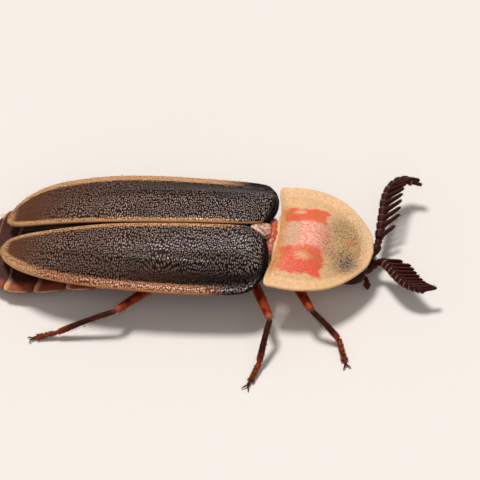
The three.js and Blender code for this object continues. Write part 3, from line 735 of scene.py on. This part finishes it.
def case_skin(share, across, side, grain=True):
    """The top of a wing case before its edges are rounded: its inner edge and outer margin are
    curves, joined by a dome that falls towards the margin, a gutter and a flat raised flange, with
    two faint ribs, a shoulder knob and grains. Gives places, how grainy they are and width."""
    inner, outer = curve(SUTURE_EDGE, share), curve(MARGIN_EDGE, share)
    spot = mix(inner, outer, across[..., None])
    disc = np.clip(across / FLANGE_START, 0, 1)
    fade = np.sin(np.pi * np.clip(share * 1.02, 0, 1)) ** 0.35
    rim = outer[..., 2] + FLANGE_RISE * fade
    flange = np.clip((across - FLANGE_START) / (1 - FLANGE_START), 0, 1)
    height = mix(rim, inner[..., 2], 1 - disc**2.2) - flange * (rim - outer[..., 2])
    height += CASE_SWELL * np.sin(np.pi * disc) * fade
    ends = step(0.05, 0.25, share) * (1 - step(0.72, 0.97, share))
    for front, rear, rise in CASE_RIBS:
        height += rise * ridge(across, mix(front, rear, share), 0.03) * ends
    height -= 0.05 * ridge(across, FLANGE_START - 0.005, 0.03) * fade
    height += 0.06 * ridge(across, 0.62, 0.16) * ridge(share, 0.05, 0.05)
    width = np.linalg.norm(outer - inner, axis=-1)
    edge = step(0.0, 0.03, across) * step(0.0, 0.02, 1 - across) * step(0.015, 0.065, share)
    gutter = ridge(across, FLANGE_START - 0.07, 0.085) * (1 - step(0.26, 0.5, share))
    rough = edge * (1 - (0.85 * step(0, 0.3, flange) if side > 0 else 0)) * (1 - 0.95 * gutter)
    rough = rough * (1 - 0.95 * (step(0.5, 0.76, share) if side > 0 else step(0.6, 0.8, share)))
    rows = granules(share * CASE_LENGTH, across * width, GRANULE_PITCH) if grain else 0.0
    spot[..., 2] = height + GRANULE_HEIGHT * rows * rough
    spot[..., 0] += FRONT_BULGE * np.sin(np.pi * np.clip(across, 0, 1)) ** 0.6 * (1 - share) ** 8
    spot[..., 1] *= side
    return spot, rough, width


def case_tan(share, across, width, side):
    """How tan the wing case is: its inner edge with a bead in front, its flange behind the shoulder,
    and its tip. The inner band is wider and softer on the right one."""
    away, outward = across * width, (1 - across) * width
    inner = (1 - step(0.09, 0.17 if side > 0 else 0.3, away)) * step(0.08, 0.22, share)
    bead = 0.8 * (1 - step(0.02, 0.05, away)) * step(0.02, 0.06, share)
    outer = (1 - step(0.22, 0.32 if side > 0 else 0.42, outward)) * step(0.1, 0.26, share)
    tip = 1 - step(0.03, 0.2, 1 - share)
    return np.maximum.reduce([inner, bead, outer, tip])


def crowded(count, share):
    """Places from 0 to 1, closer together to both ends by a share of a cosine's way."""
    even = np.linspace(0, 1, count)
    return mix(even, 0.5 - 0.5 * np.cos(np.pi * even), share)


def case_thickness(share, across):
    """Thick in the middle, thinner to the edges and to the rear."""
    return mix(CASE_EDGE, mix(CASE_MIDDLE, CASE_EDGE, share**3), np.sin(np.pi * across) ** 0.6)


def wing_case(name, side, paint):
    """The plate: its thickness runs to nothing along a quarter circle at every edge. The far border
    is amber on the right one, and along behind the shoulder a band of painted shade dims the
    painted glints."""
    share, across = np.broadcast_arrays(crowded(410, 0.35)[:, None], crowded(120, 0.3)[None])
    top, rough, width = case_skin(share, across, side)
    tan = case_tan(share, across, width, side)
    edge = rounded(across, 0.05) * rounded(1 - across, 0.05)
    edge = edge * rounded(share, 0.02) * rounded(1 - share, 0.009)
    # Painted shade: the painted glints are dimmed over the outer half behind the shoulder, away from the lit
    # zone, and tan parts keep them all.
    sheen = 1 - 0.5 * step(0.4, 0.54, across) * step(0.03, 0.2, share) * (1 - step(0.5, 0.8, share))
    sheen = np.maximum(sheen, step(0.5, 0.8, tan))
    amber = step(0.6, 0.8, across) * (1 - 0.8 * step(0.5, 0.82, share)) if side < 0 else 0.2 + 0 * across
    marks = np.stack([share, tan, rough, sheen, amber], -1)
    part = plate(top, case_thickness(share, across), edge, marks, marks * SMOOTH_BELOW)
    piece(f"wing_case_{name}", part, paint, "wing_case", [f"elytron_{name}"], CASE_MARKS)


def wing_case_hairs(name, side, paint):
    """Short hairs that lie back over the grains, and stand out a little along the margin."""
    share, across = strewn(104, 27)
    share, across = mix(0.015, 0.985, share), mix(0.02, 0.985, across)
    _, _, width = case_skin(share, across, side)
    keep = draw.random(len(share)) < width / width.max()
    share, across = share[keep], across[keep]

    def surface(u, v):
        return case_skin(np.clip(u, 0, 1), np.clip(v, 0, 1), side)[0]

    spot, back, out, _ = on_surface(surface, share, across, 4e-3)
    normal = unit(np.cross(back, out)) * -side
    chance = draw.normal(0, 0.25, (len(share), 3))
    lie = back + 0.25 * out * (across[:, None] - 0.3) + 0.15 * normal + 0.6 * chance
    length = draw.uniform(0.06, 0.1, len(share))
    part = spikes(spot, lie, normal, length, 0.009)
    roots = np.stack([share, across], -1)
    piece(f"wing_case_hairs_{name}", part, paint, "wing_case", roots=roots)


# Pronotum.


def rim_at(turn):
    """The rim at a share of the way round from the front tip, by the left side first."""
    turn = np.mod(turn, 1.0)
    half = np.where(turn <= 0.5, turn, 1 - turn) * 2
    spot = run(PRONOTUM_RIM, 1 - half)
    spot[..., 1] *= np.where(turn <= 0.5, 1, -1)
    return spot


def shield_top(turn, radius):
    """The shield's top: a low dome inside a gutter, a broad flat border with a fine lip, two boss-like
    swellings and a groove along the middle, and fine grains."""
    rim = rim_at(turn)
    spot = mix(PRONOTUM_TOP, rim, radius[..., None])
    dome = np.clip(1 - (radius / DISC_EDGE) ** 2, 0, 1) ** 1.3
    x, y = spot[..., 0], spot[..., 1]
    height = mix(rim[..., 2], PRONOTUM_TOP[2], dome)
    height -= 0.035 * ridge(radius, 0.83, 0.06)
    height += 0.02 * step(0.92, 0.99, radius)
    height += 0.04 * ridge(x, 2.2, 0.55) * ridge(np.abs(y), 0.62, 0.35)
    height -= 0.03 * ridge(y, 0, 0.06) * dome
    height += 0.009 * granules(x, y, 0.07, 1.0) * (1 - step(0.93, 0.98, radius))
    return np.stack([x, y, height], -1)


def shield_marks(x, y):
    """Where the shield is red, orange in the red, pink, hot pink, milky, dusky, dark, tan at its rear
    edge, and where a small orange spot lies in the dusk."""
    def spot(along, over, reach, half, power=1.0):
        return np.exp(-((((x - along) / reach) ** 2 + ((y - over) / half) ** 2) ** power))

    a = x + 0.05 * np.sin(y * 9 + 1) + 0.02 * np.sin(y * 23)
    b = y + 0.03 * np.sin(x * 7) + 0.02 * np.sin(x * 19 + 2)
    upper = window(a, 1.5, 2.9, 0.1) * window(b, 0.46, 1.1 + 0.07 * step(2.2, 2.8, x), 0.11)
    upper = upper * (1 - 0.8 * spot(2.0, 0.88, 0.26, 0.16))
    lower = window(a, 1.5, 2.94, 0.14) * window(b, -1.5, -0.58, 0.12)
    lower = lower * (1 - 0.7 * spot(2.28, -0.93, 0.36, 0.2))
    red = np.maximum(upper, lower)
    orange = np.maximum.reduce([
        spot(2.4, 0.57, 0.45, 0.1), spot(2.3, -0.66, 0.38, 0.16), 0.7 * (1 - step(1.55, 1.85, x))])
    pink = window(a, 2.1, 3.12, 0.18) * window(b, -0.62, 0.52, 0.12)
    hot = np.maximum(spot(3.04, -0.02, 0.14, 0.12), spot(2.8, -0.6, 0.22, 0.1))
    milk = window(a, 1.45, 2.25, 0.15) * window(b, -0.55, 0.48, 0.12)
    dusk = spot(3.52, -0.02, 0.7, 1.22, 1.8) * (1 - 0.35 * spot(3.3, -0.15, 0.24, 0.3))
    dark = np.maximum(spot(3.72, -0.74, 0.36, 0.34, 1.4), 0.25 * spot(3.3, 0.86, 0.3, 0.2))
    rear = (1 - step(1.42, 1.68, a)) * window(y, -1.55, 1.1, 0.2)
    return np.stack([red, orange, pink, hot, milk, dusk, dark, rear, spot(3.73, 0.13, 0.09, 0.09)], -1)


def shield(paint):
    """The shield as rings about its middle, thinner to its rounded rim, and paler below."""
    radius = np.linspace(0, 1, 130)[:, None] ** 0.85
    turn = np.linspace(0, 1, 320, endpoint=False)[None]
    radius, turn = np.broadcast_arrays(radius, turn)
    top = shield_top(turn, radius)
    thick = mix(SHIELD_MIDDLE, SHIELD_EDGE, radius**2)
    marks = shield_marks(top[..., 0], top[..., 1])
    part = plate(top, thick, rounded(1 - radius, 0.04), marks, marks * 0.5, wrap=True)
    piece("pronotum_shield", part, paint, "pronotum", ["pronotum"], SHIELD_MARKS)


def shield_hairs(paint):
    """Fine hairs over the shield that lie to the rear, and a fringe along its rim."""
    def surface(u, v):
        return shield_top(u, np.clip(v, 0, 1))

    turn, radius = strewn(70, 22)
    radius = mix(0.12, 0.97, radius**0.6)
    spot, round_, out, _ = on_surface(surface, turn, radius)
    normal = unit(np.cross(out, round_))
    lie = np.array([-1.0, 0, 0]) + 0.35 * normal + draw.normal(0, 0.25, (len(turn), 3))
    top = spikes(spot, lie, normal, draw.uniform(0.05, 0.08, len(turn)), 0.009)
    fringe = (np.arange(FRINGE_HAIRS) + draw.random(FRINGE_HAIRS)) / FRINGE_HAIRS
    edge = mix(0.985, 1.0, draw.random(FRINGE_HAIRS))
    rim, _, out, _ = on_surface(surface, fringe, edge - 0.01)
    rim[:, 2] -= 0.05
    lie = out + 0.3 * UP * draw.normal(0, 1, (FRINGE_HAIRS, 1)) + draw.normal(0, 0.25, rim.shape)
    length = draw.uniform(0.04, 0.08, FRINGE_HAIRS)
    border = spikes(rim, lie, np.broadcast_to(UP, rim.shape), length, 0.011)
    part = join(top, border)
    angle = np.r_[turn, fringe] * 2 * np.pi
    reach = np.r_[radius, edge] * 0.48
    roots = 0.5 + np.stack([np.cos(angle) * reach, np.sin(angle) * reach], -1)
    piece("pronotum_hairs", part, paint, "pronotum", roots=roots)


def body_rings(stations, x, columns, power):
    """Rings across a flattened body: half width, underside, side and top are read from stations."""
    half, bottom, side, top = blend(stations, x).T[:, :, None]
    angle = np.linspace(0, 2 * np.pi, columns, endpoint=False)[None]
    sine = np.sin(angle)
    height = np.where(sine > 0, top - side, side - bottom) * np.abs(sine) ** power
    return np.stack([x[:, None] + 0 * angle, half * np.cos(angle), side + np.sign(sine) * height], -1)


def prothorax(paint):
    """The underside of the pronotum's segment, between the front hips, with a narrow neck that
    reaches into the thorax."""
    rings = body_rings(PROTHORAX, np.linspace(PROTHORAX[0, 0], PROTHORAX[-1, 0], 52), 64, 0.8)
    rings[..., 2] += 0.03 * np.sin(rings[..., 0] * 9) * (rings[..., 2] < 1.2)
    part = marked(loft(rings), *np.zeros(len(SHIELD_MARKS)))
    piece("prothorax", part, paint, "pronotum", marks=SHIELD_MARKS)


# Scutellum and the soft fold in front of it.


def scutellum(paint):
    """A small tongue-shaped plate, crowned, with its tip to the rear: its width is a quarter circle
    in front, times a power of the way to the tip."""
    along = np.linspace(0, 1, 40)[:, None]
    over = np.linspace(-1, 1, 36)[None]
    half = SCUTELLUM_HALF * rounded(along, 0.3) * (1 - along**1.6) ** 0.8
    x = mix(SCUTELLUM[0, 0], SCUTELLUM[1, 0], along) + 0 * over
    y = half * over
    rise = SCUTELLUM_THICK * rounded(1 - np.abs(over), 0.2) * rounded(along, 0.1) * rounded(1 - along, 0.1)
    crown = SCUTELLUM_CROWN * (1 - over**2) * np.sin(np.pi * along)
    middle = mix(SCUTELLUM[0, 1], SCUTELLUM[1, 1], along) + crown
    front = 0.5 - 0.5 * step(0.02, 0.22, along) + 0 * over
    marks = (front, 0 * x, 0 * x)
    upper = np.stack([x, y, middle + rise, *marks], -1)
    lower = np.stack([x, y, middle - rise - crown, *marks], -1)
    piece("scutellum_plate", pillow(upper, lower), paint, "scutellum", ["scutellum"], FOLD_MARKS)


def neck_fold(paint):
    """The soft orange fold that shows between the shield and the wing cases: a strip with wrinkles."""
    over = np.linspace(-1, 1, 110)[:, None]
    turn = np.linspace(0, 2 * np.pi, 28, endpoint=False)[None]
    taper = np.sqrt(np.clip(1 - over**2, 0.0004, 1))
    wrinkle = 0.012 * np.sin(over * 17 + 1.3 * np.sin(turn + over * 5)) + 0.005 * np.sin(over * 41 + 3 * turn)
    x = mix(1.16, 1.0, over**2) + (0.2 * taper + wrinkle) * np.cos(turn)
    y = FOLD_HALF * over + 0 * turn
    z = mix(1.8, 1.55, over**2) + (0.16 * taper + wrinkle) * np.sin(turn)
    low = 1 - step(-0.42, -0.2, y)
    spot = ridge(y, -0.56, 0.05)
    rings = np.stack([x, y, z, 1 + 0 * x, low, spot], -1)
    piece("neck_fold", loft(rings), paint, "scutellum", marks=FOLD_MARKS)


# Trunk.


def thorax(paint):
    """Middle and hind thorax: a smooth barrel with the seams of its side and belly plates."""
    x = np.linspace(1.06, -2.4, 120)
    stations = np.insert(THORAX, 3, mix(THORAX[:, 2], THORAX[:, 3], 0.55), axis=1)
    rings = body_rings(stations, x, 96, 0.75)
    below = 1 - step(1.0, 1.3, rings[..., 2])
    seams = ridge(rings[..., 0], 0.05, 0.04) + ridge(np.abs(rings[..., 1]), 0.03, 0.02) * below
    seams += ridge(rings[..., 0] + 0.25 * np.abs(rings[..., 1]), -1.75, 0.04)
    rings[..., 2] += 0.05 * seams * below
    part = join(marked(loft(rings), 0.0, 0.0), told(ball(*SADDLE), 0.0, 0.0))
    piece("thorax_plates", part, paint, "body", ["thorax"], ("flap", "rim"))


def waist(paint):
    """The soft skin between thorax and abdomen, mostly inside them."""
    x = np.linspace(WAIST[0, 0], WAIST[1, 0], 24)
    rings = body_rings(WAIST, x, 72, 0.8)
    rings[..., 1] *= 1 + 0.01 * np.sin(x * 60)[:, None]
    piece("waist_skin", marked(loft(rings), 0.0, 0.0), paint, "body", marks=("flap", "rim"))


def abdomen(paint):
    """The segments, each a little wider to its rear edge, stepping in to the next, with flaps at
    its corners that reach back and pale rims."""
    local = np.r_[0, 0.02, np.linspace(0.06, 0.94, 16), 0.975, 1.0]
    inset = np.interp(local, [0, 0.05, 0.3, 0.85, 0.96, 0.985, 1], [0.11, 0.05, 0.01, 0, 0, 0.02, 0.1])
    starts, ends = ABDOMEN[:-1, 0], ABDOMEN[1:, 0]
    x = mix(starts[:, None], ends[:, None], local).ravel()
    share = np.tile(local, len(starts))
    step_in = np.tile(inset, len(starts))
    rings = body_rings(ABDOMEN, x, 120, 1.05)
    half, _, side, _ = blend(ABDOMEN, x).T[:, :, None]
    shrink = 1 - step_in[:, None] / half
    sideways = np.abs(rings[..., 1]) / half
    rings[..., 1] *= shrink
    rings[..., 2] = side + (rings[..., 2] - side) * (1 - step_in[:, None] * 0.9)
    corner = 1 - np.sqrt(1 - np.clip((share - 0.6) / 0.4, 0, 1) ** 2) + (1 - step(0.0, 0.35, share)) * 0.6
    outer = step(0.75, 1.0, sideways)
    rings[..., 1] *= 1 - 0.055 * corner[:, None] * outer
    rings[..., 0] -= 0.14 * outer * share[:, None] * step(-8.6, -8.0, x)[:, None]
    flap = step(0.78, 0.93, sideways) * step(0.05, 0.3, share)[:, None]
    rim = step(0.8, 0.95, share)[:, None] * step(0.7, 0.95, sideways)
    rim = np.maximum(rim, step(0.985, 0.999, sideways) * step(0.2, 0.5, share)[:, None])
    rim = np.maximum(rim, 0.3 * step(0.9, 0.97, share)[:, None] * (1 + 0 * sideways))
    part = loft(np.concatenate([rings, flap[..., None], rim[..., None]], -1))
    piece("abdomen_segments", part, paint, "body", ["abdomen"], ("flap", "rim"))


def abdomen_hairs(paint):
    """Short hairs along the flaps and over the belly, lying back."""
    share, turn = strewn(60, 26)
    x = mix(-2.8, -8.7, share)
    half, bottom, side, top = blend(ABDOMEN, x).T
    angle = turn * 2 * np.pi
    height = np.where(np.sin(angle) > 0, top - side, side - bottom) * np.abs(np.sin(angle)) ** 1.05
    spot = np.stack([x, (half - 0.02) * np.cos(angle), side + np.sign(np.sin(angle)) * height], -1)
    normal = unit(np.stack([0 * x, np.cos(angle) * 0.4, np.sin(angle)], -1))
    lie = np.array([-1.0, 0, 0]) + 0.3 * normal + draw.normal(0, 0.2, spot.shape)
    part = spikes(spot, lie, normal, draw.uniform(0.08, 0.14, len(x)), 0.012)
    piece("abdomen_hairs", part, paint, "body", roots=np.stack([share, turn], -1))


def lantern(paint):
    """The light organ: two plates under the last segments but one."""
    parts = []
    low, middle, high = LANTERN_HEIGHTS
    for front, rear, half in LANTERN_PLATES:
        x = np.linspace(front, rear, 26)
        full = 1 - (np.abs(x - (front + rear) / 2) / ((front - rear) / 2)) ** 4
        width = half * np.clip(full, 0.0, 1) ** 0.3 + 0.02
        stations = np.stack([x, width, low + 0.06 * (1 - full), middle + 0 * x, high + 0 * x], -1)
        parts.append(loft(body_rings(stations, x, 56, 0.35)))
    piece("light_organ", join(*parts), paint, "lantern", ["lantern"])


# Head.


def head(paint):
    """Capsule with a dent between the eyes, neck, upper lip and the two curved jaws."""
    points, faces = ball(HEAD_CENTRE, HEAD_RADII, 64, 96)
    dent = ridge(points[:, 1], 0, 0.25) * ridge(points[:, 0], 4.1, 0.3) * step(0.6, 0.9, points[:, 2])
    points[:, 2] -= 0.1 * dent
    jaws = [limb(JAW_PATH * [1, side, 1], JAW, 12) for side in SIDES.values()]
    neck, lip = limb(NECK_PATH, NECK, 32, (0, 1, 0)), ball(LIP_CENTRE, LIP_RADII, 20, 28)
    points, faces = join((points, faces), neck, lip, *jaws)
    piece("head_capsule", (points[:, :3], faces), paint, "head", ["head"])


def eye(name, side, paint):
    """A big round eye; its lenses are a low relief of cells."""
    centre = EYE_CENTRE * [1, side, 1]
    points, faces = ball(centre, EYE_RADII, 120, 180)
    offset = (points[:, :3] - centre) / EYE_RADII
    distance, _ = cells(np.arctan2(offset[:, 2], offset[:, 0]) * 19, offset[:, 1] * 17, 0.4, 11)
    points[:, :3] = centre + (points[:, :3] - centre) * (1 - 0.012 * distance[:, None])
    piece(f"eye_lenses_{name}", (points[:, :3], faces), paint, "eye", [f"eye_{name}"])


def palp(name, side, paint):
    """The feeler of the mouth: two small joints and a last one like a flat spearhead."""
    root, knee, tip = PALP_PATH * [1, side, 1]
    first = limb([root, mix(root, knee, 0.5)], PALP_FIRST, 14)
    second = limb([mix(root, knee, 0.45), knee], PALP_SECOND, 14)
    spear = limb([mix(root, knee, 0.95), tip], PALP_SPEAR, 18, flat=0.6)
    points, faces = join(first, second, spear)
    piece(f"palp_joints_{name}", (points[:, :3], faces), paint, "head", [f"palp_{name}"])


# Antennae.


def antenna_joint(pose, i):
    """One cup, with a pale crescent at its end on the side away from its branch, and the branch: a
    flat blade that curves forward a little. Gives them and the stems that carry their hairs."""
    path, comb, reaches, widths = pose
    share = i / BRANCHES
    start, end = (mix(CUPS_START, 1, 1 - (1 - k / BRANCHES) ** BRANCH_SPACING) for k in (i, i + 1))
    radius = mix(CUP_FIRST, CUP_LAST, share)
    inside = run(path, np.linspace(start - 0.012, end, 6))
    near, root, far = run(path, np.array([start, mix(start, end, 0.55 if i else 0.3), end]))
    along = unit(far - near)
    reach = unit(mix(*comb, share**2.5))
    points, faces = limb(inside, CUP * [1, radius], 20, rows=18)
    away = -(points[:, :3] - root) @ unit(reach - along * (reach @ along))
    pale = 0.8 * window(points[:, 3], 0.87, 0.94, 0.02) * step(-0.95 * radius, -0.3 * radius, away)
    length = mix(*reaches, share**3) * (1 if i else 0.82)
    bent = root + reach * length * np.array([[0], [0.35], [0.7], [1]])
    bent += along * np.array([[-0.03], [0], [0.03], [0.07]])
    blade = limb(bent, BRANCH, 14, up=np.cross(along, reach), flat=mix(*widths, share), rows=22)
    cup = np.hstack([points[:, :3], pale[:, None]]), faces
    return [cup, told(blade, 0)], [(inside, radius * 0.85, 34), (bent, 0.055 * 0.85, 46)]


def antenna(name, paint, hairs):
    """A thick first joint, a short second one and eleven cup-shaped ones with branches. Fine hairs
    cover them all."""
    pose = [np.array(rows) for rows in ANTENNA_POSES[name]]
    path = pose[0]
    first = limb(run(path, np.linspace(0, SCAPE_END, 6)), SCAPE, 20)
    second = limb(run(path, np.linspace(PEDICEL_START, PEDICEL_END, 4)), PEDICEL, 18)
    parts, stems = [told(first, 0), told(second, 0)], []
    for i in range(BRANCHES):
        joint, stem = antenna_joint(pose, i)
        parts += joint
        stems += stem
    piece(f"antenna_joints_{name}", join(*parts), paint, "antenna", [f"antenna_{name}"], ("joint",))
    part, roots = stem_hairs(stems, (0.08, 0.98), (0.8, 0.7), (0.3, 0.2, 0.9), (0.04, 0.09), 0.012)
    piece(f"antenna_hairs_{name}", part, hairs, "antenna", roots=roots)


# Legs.


def foot(ankle, toe, claw):
    """Two spurs, three joints that widen to their ends, a pair of lobes, a slender last joint and
    two hooked claws."""
    along, ahead = unit(toe - ankle), unit(claw - toe)
    fork, wrist = mix(ankle, toe, FOOT_SHARES[3]), mix(toe, claw, 0.5)
    parts = []
    for start, end in zip(FOOT_SHARES, FOOT_SHARES[1:]):
        joint = [mix(ankle, toe, start) - along * 0.03, mix(ankle, toe, end) + along * 0.02]
        parts.append(told(limb(joint, FOOT_JOINT, 16, flat=0.8, rows=20), 0.6,
                          lambda s: 0.35 * (1 - step(0, 0.12, s))))
    last = limb([mix(fork, toe, 0.6) + UP * 0.03, wrist], LAST_JOINT, 14, rows=18)
    parts.append(told(last, 0.35, 0))
    for turn in (1, -1):
        side, out = unit(np.cross(UP, along)) * turn, unit(np.cross(UP, ahead)) * turn
        spur = [ankle + side * 0.07, ankle + side * 0.1 + along * 0.17 - UP * 0.03]
        lobe = [fork, mix(fork, toe, 0.5) + side * 0.05, toe + side * 0.08 - UP * 0.02]
        hook = [wrist - ahead * 0.02, wrist + ahead * 0.09 + out * 0.07 + UP * 0.02,
                claw + out * 0.12, claw + ahead * 0.03 + out * 0.12 - UP * 0.05]
        parts.append(told(limb(spur, SPUR, 8, rows=6), 0.7, 0))
        parts.append(told(limb(lobe, FOOT_LOBE, 14, flat=0.8, rows=18), 0.6, 0))
        parts.append(told(limb(hook, CLAW, 10, rows=14), 0.3, 0))
    return parts


def leg(name, paint, hairs):
    """Hip, thigh, shin and foot. The shin is darkest in its middle, and the knee is pale, most of
    all on a middle leg."""
    hip, knee, ankle, toe, claw = np.array(LEGS[name])
    pale = 0.5 if name.startswith("mid") else 0.25
    thigh = limb([mix(hip, knee, 0.08), knee], THIGH, 22, flat=0.85, bend=0.04)
    shin = limb([mix(knee, ankle, -0.02), ankle], SHIN, 20, flat=0.85, bend=0.05)
    part = join(
        told(ball(hip, [0.26, 0.26, 0.28], 24, 32), 0.9, 0),
        told(ball(mix(hip, knee, 0.13), [0.17, 0.17, 0.17], 18, 24), 0.8, 0),
        told(thigh, lambda s: 1 - 0.25 * s, lambda s: pale * step(0.9, 0.98, s)),
        told(shin, lambda s: 0.05 + 0.8 * step(0.68, 1, s), lambda s: 0.5 * pale * (1 - step(0.0, 0.08, s))),
        *foot(ankle, toe, claw),
    )
    piece(f"leg_joints_{name}", part, paint, "leg", [f"leg_{name}"], ("warm", "joint"))
    stems = [([hip, knee], 0.15, 110), ([knee, ankle], 0.1, 150), ([ankle, toe], 0.075, 190)]
    part, roots = stem_hairs(stems, (0.12, 0.98), (0.9, 0.5), UP, (0.05, 0.1), 0.013)
    piece(f"leg_hairs_{name}", part, hairs, "leg", roots=roots)


# Hind wings.


def hind_wing(name, side, paint):
    """The folded hind wing: a thin skin with pleats and raised veins, under its wing case."""
    along, over = np.broadcast_arrays(np.linspace(0, 1, 130)[:, None], np.linspace(0, 1, 60)[None])
    share, place = mix(*WING_ALONG, along), mix(*WING_ACROSS, over)
    across = place * np.sqrt(1 - along**4 * 0.8)
    top, _, _ = case_skin(share, across, side, grain=False)
    vein = sum(ridge(place, middle, 0.012) for middle in VEINS)
    fold = 0.02 * np.sin(place * 60 + along * 4)
    edge = rounded(1 - np.abs(2 * over - 1), 0.1) * rounded(along, 0.05) * rounded(1 - along, 0.05)
    top[..., 2] -= case_thickness(share, across) + WING_DROP - fold
    lift = np.zeros(top.shape)
    lift[..., 2] = edge * (0.03 + 0.02 * vein)
    upper = np.concatenate([top + lift, vein[..., None]], -1)
    lower = np.concatenate([top - lift, vein[..., None]], -1)
    piece(f"hind_wing_{name}", pillow(upper, lower), paint, "wing_membrane", [f"hindwing_{name}"], ("vein",))


# The scene.


def look():
    """The camera, turned about the point it looks at."""
    azimuth, height, roll = np.radians([LOOK_AZIMUTH, LOOK_ELEVATION, LOOK_ROLL])
    back = np.array([np.sin(azimuth) * np.cos(height), -np.cos(azimuth) * np.cos(height), np.sin(height)])
    right = np.array([np.cos(azimuth), np.sin(azimuth), 0])
    up = np.cross(back, right)
    right, up = right * np.cos(roll) + up * np.sin(roll), up * np.cos(roll) - right * np.sin(roll)
    spot = (np.array(LOOK_AT) + SHIFT + back * LOOK_DISTANCE) * MM
    camera = bpy.data.objects.new("camera", bpy.data.cameras.new("camera"))
    camera.data.sensor_width = SENSOR
    camera.data.lens = SENSOR * LOOK_DISTANCE / PICTURE_WIDTH
    camera.data.clip_start, camera.data.clip_end = 0.01, 10
    camera.matrix_world = Matrix([[*axis] for axis in np.stack([right, up, back, spot], 1)] + [[0, 0, 0, 1]])
    bpy.context.scene.collection.objects.link(camera)
    bpy.context.scene.camera = camera


def lamp(name, direction, strength, spread, colour):
    """A far lamp that shines from a direction, with soft edges of that many degrees."""
    made = bpy.data.objects.new(name, bpy.data.lights.new(name, "SUN"))
    made.data.energy, made.data.angle, made.data.color = strength, np.radians(spread), colour
    made.rotation_mode = "QUATERNION"
    made.rotation_quaternion = Vector(direction).to_track_quat("Z", "Y")
    bpy.context.scene.collection.objects.link(made)


def studio():
    """A pale floor, a light from above and a little behind, a weak one in front, and a dim sky."""
    mesh = bpy.data.meshes.new("floor")
    corners = [(-1, -1, 0), (1, -1, 0), (1, 1, 0), (-1, 1, 0)]
    mesh.from_pydata([[FLOOR_REACH * c for c in corner] for corner in corners], [], [(0, 1, 2, 3)])
    floor = bpy.data.objects.new("floor", mesh)
    mesh.materials.append(floor_paint())
    bpy.context.scene.collection.objects.link(floor)
    lamp("key", (-0.15, 0.3, 1.0), 2.7, 14, (1.0, 0.965, 0.93))
    lamp("fill", (0.5, -0.8, 0.9), 0.45, 50, (1.0, 0.94, 0.9))
    world = bpy.data.worlds.new("sky")
    world.use_nodes = True
    world.node_tree.nodes["Background"].inputs["Color"].default_value = (0.96, 0.925, 0.9, 1)
    world.node_tree.nodes["Background"].inputs["Strength"].default_value = 0.28
    bpy.context.scene.world = world
    bpy.context.scene.view_settings.view_transform = "Standard"


look()
studio()
case_paint, gold_hair = wing_case_paint(), hair_paint("gold_hair", tone(112, 94, 80))
dark_hair, pale_hair = hair_paint("dark_hair", tone(70, 42, 32)), hair_paint("pale_hair", tone(240, 222, 184))
amber_hair = hair_paint("amber_hair", tone(158, 96, 52))
antenna_brown, leg_brown, eye_black = antenna_paint(), leg_paint(), eye_paint()
head_brown, cream, body_brown = head_paint(), pronotum_paint(), body_paint()
soft_pink, smoke = scutellum_paint(), membrane_paint()
for name, side in SIDES.items():
    wing_case(name, side, case_paint)
    wing_case_hairs(name, side, gold_hair)
    hind_wing(name, side, smoke)
    eye(name, side, eye_black)
    palp(name, side, head_brown)
    antenna(name, antenna_brown, dark_hair)
for name in LEGS:
    leg(name, leg_brown, amber_hair)
shield(cream)
shield_hairs(pale_hair)
prothorax(cream)
scutellum(soft_pink)
neck_fold(soft_pink)
thorax(body_brown)
waist(body_brown)
abdomen(body_brown)
abdomen_hairs(gold_hair)
lantern(lantern_paint())
head(head_brown)
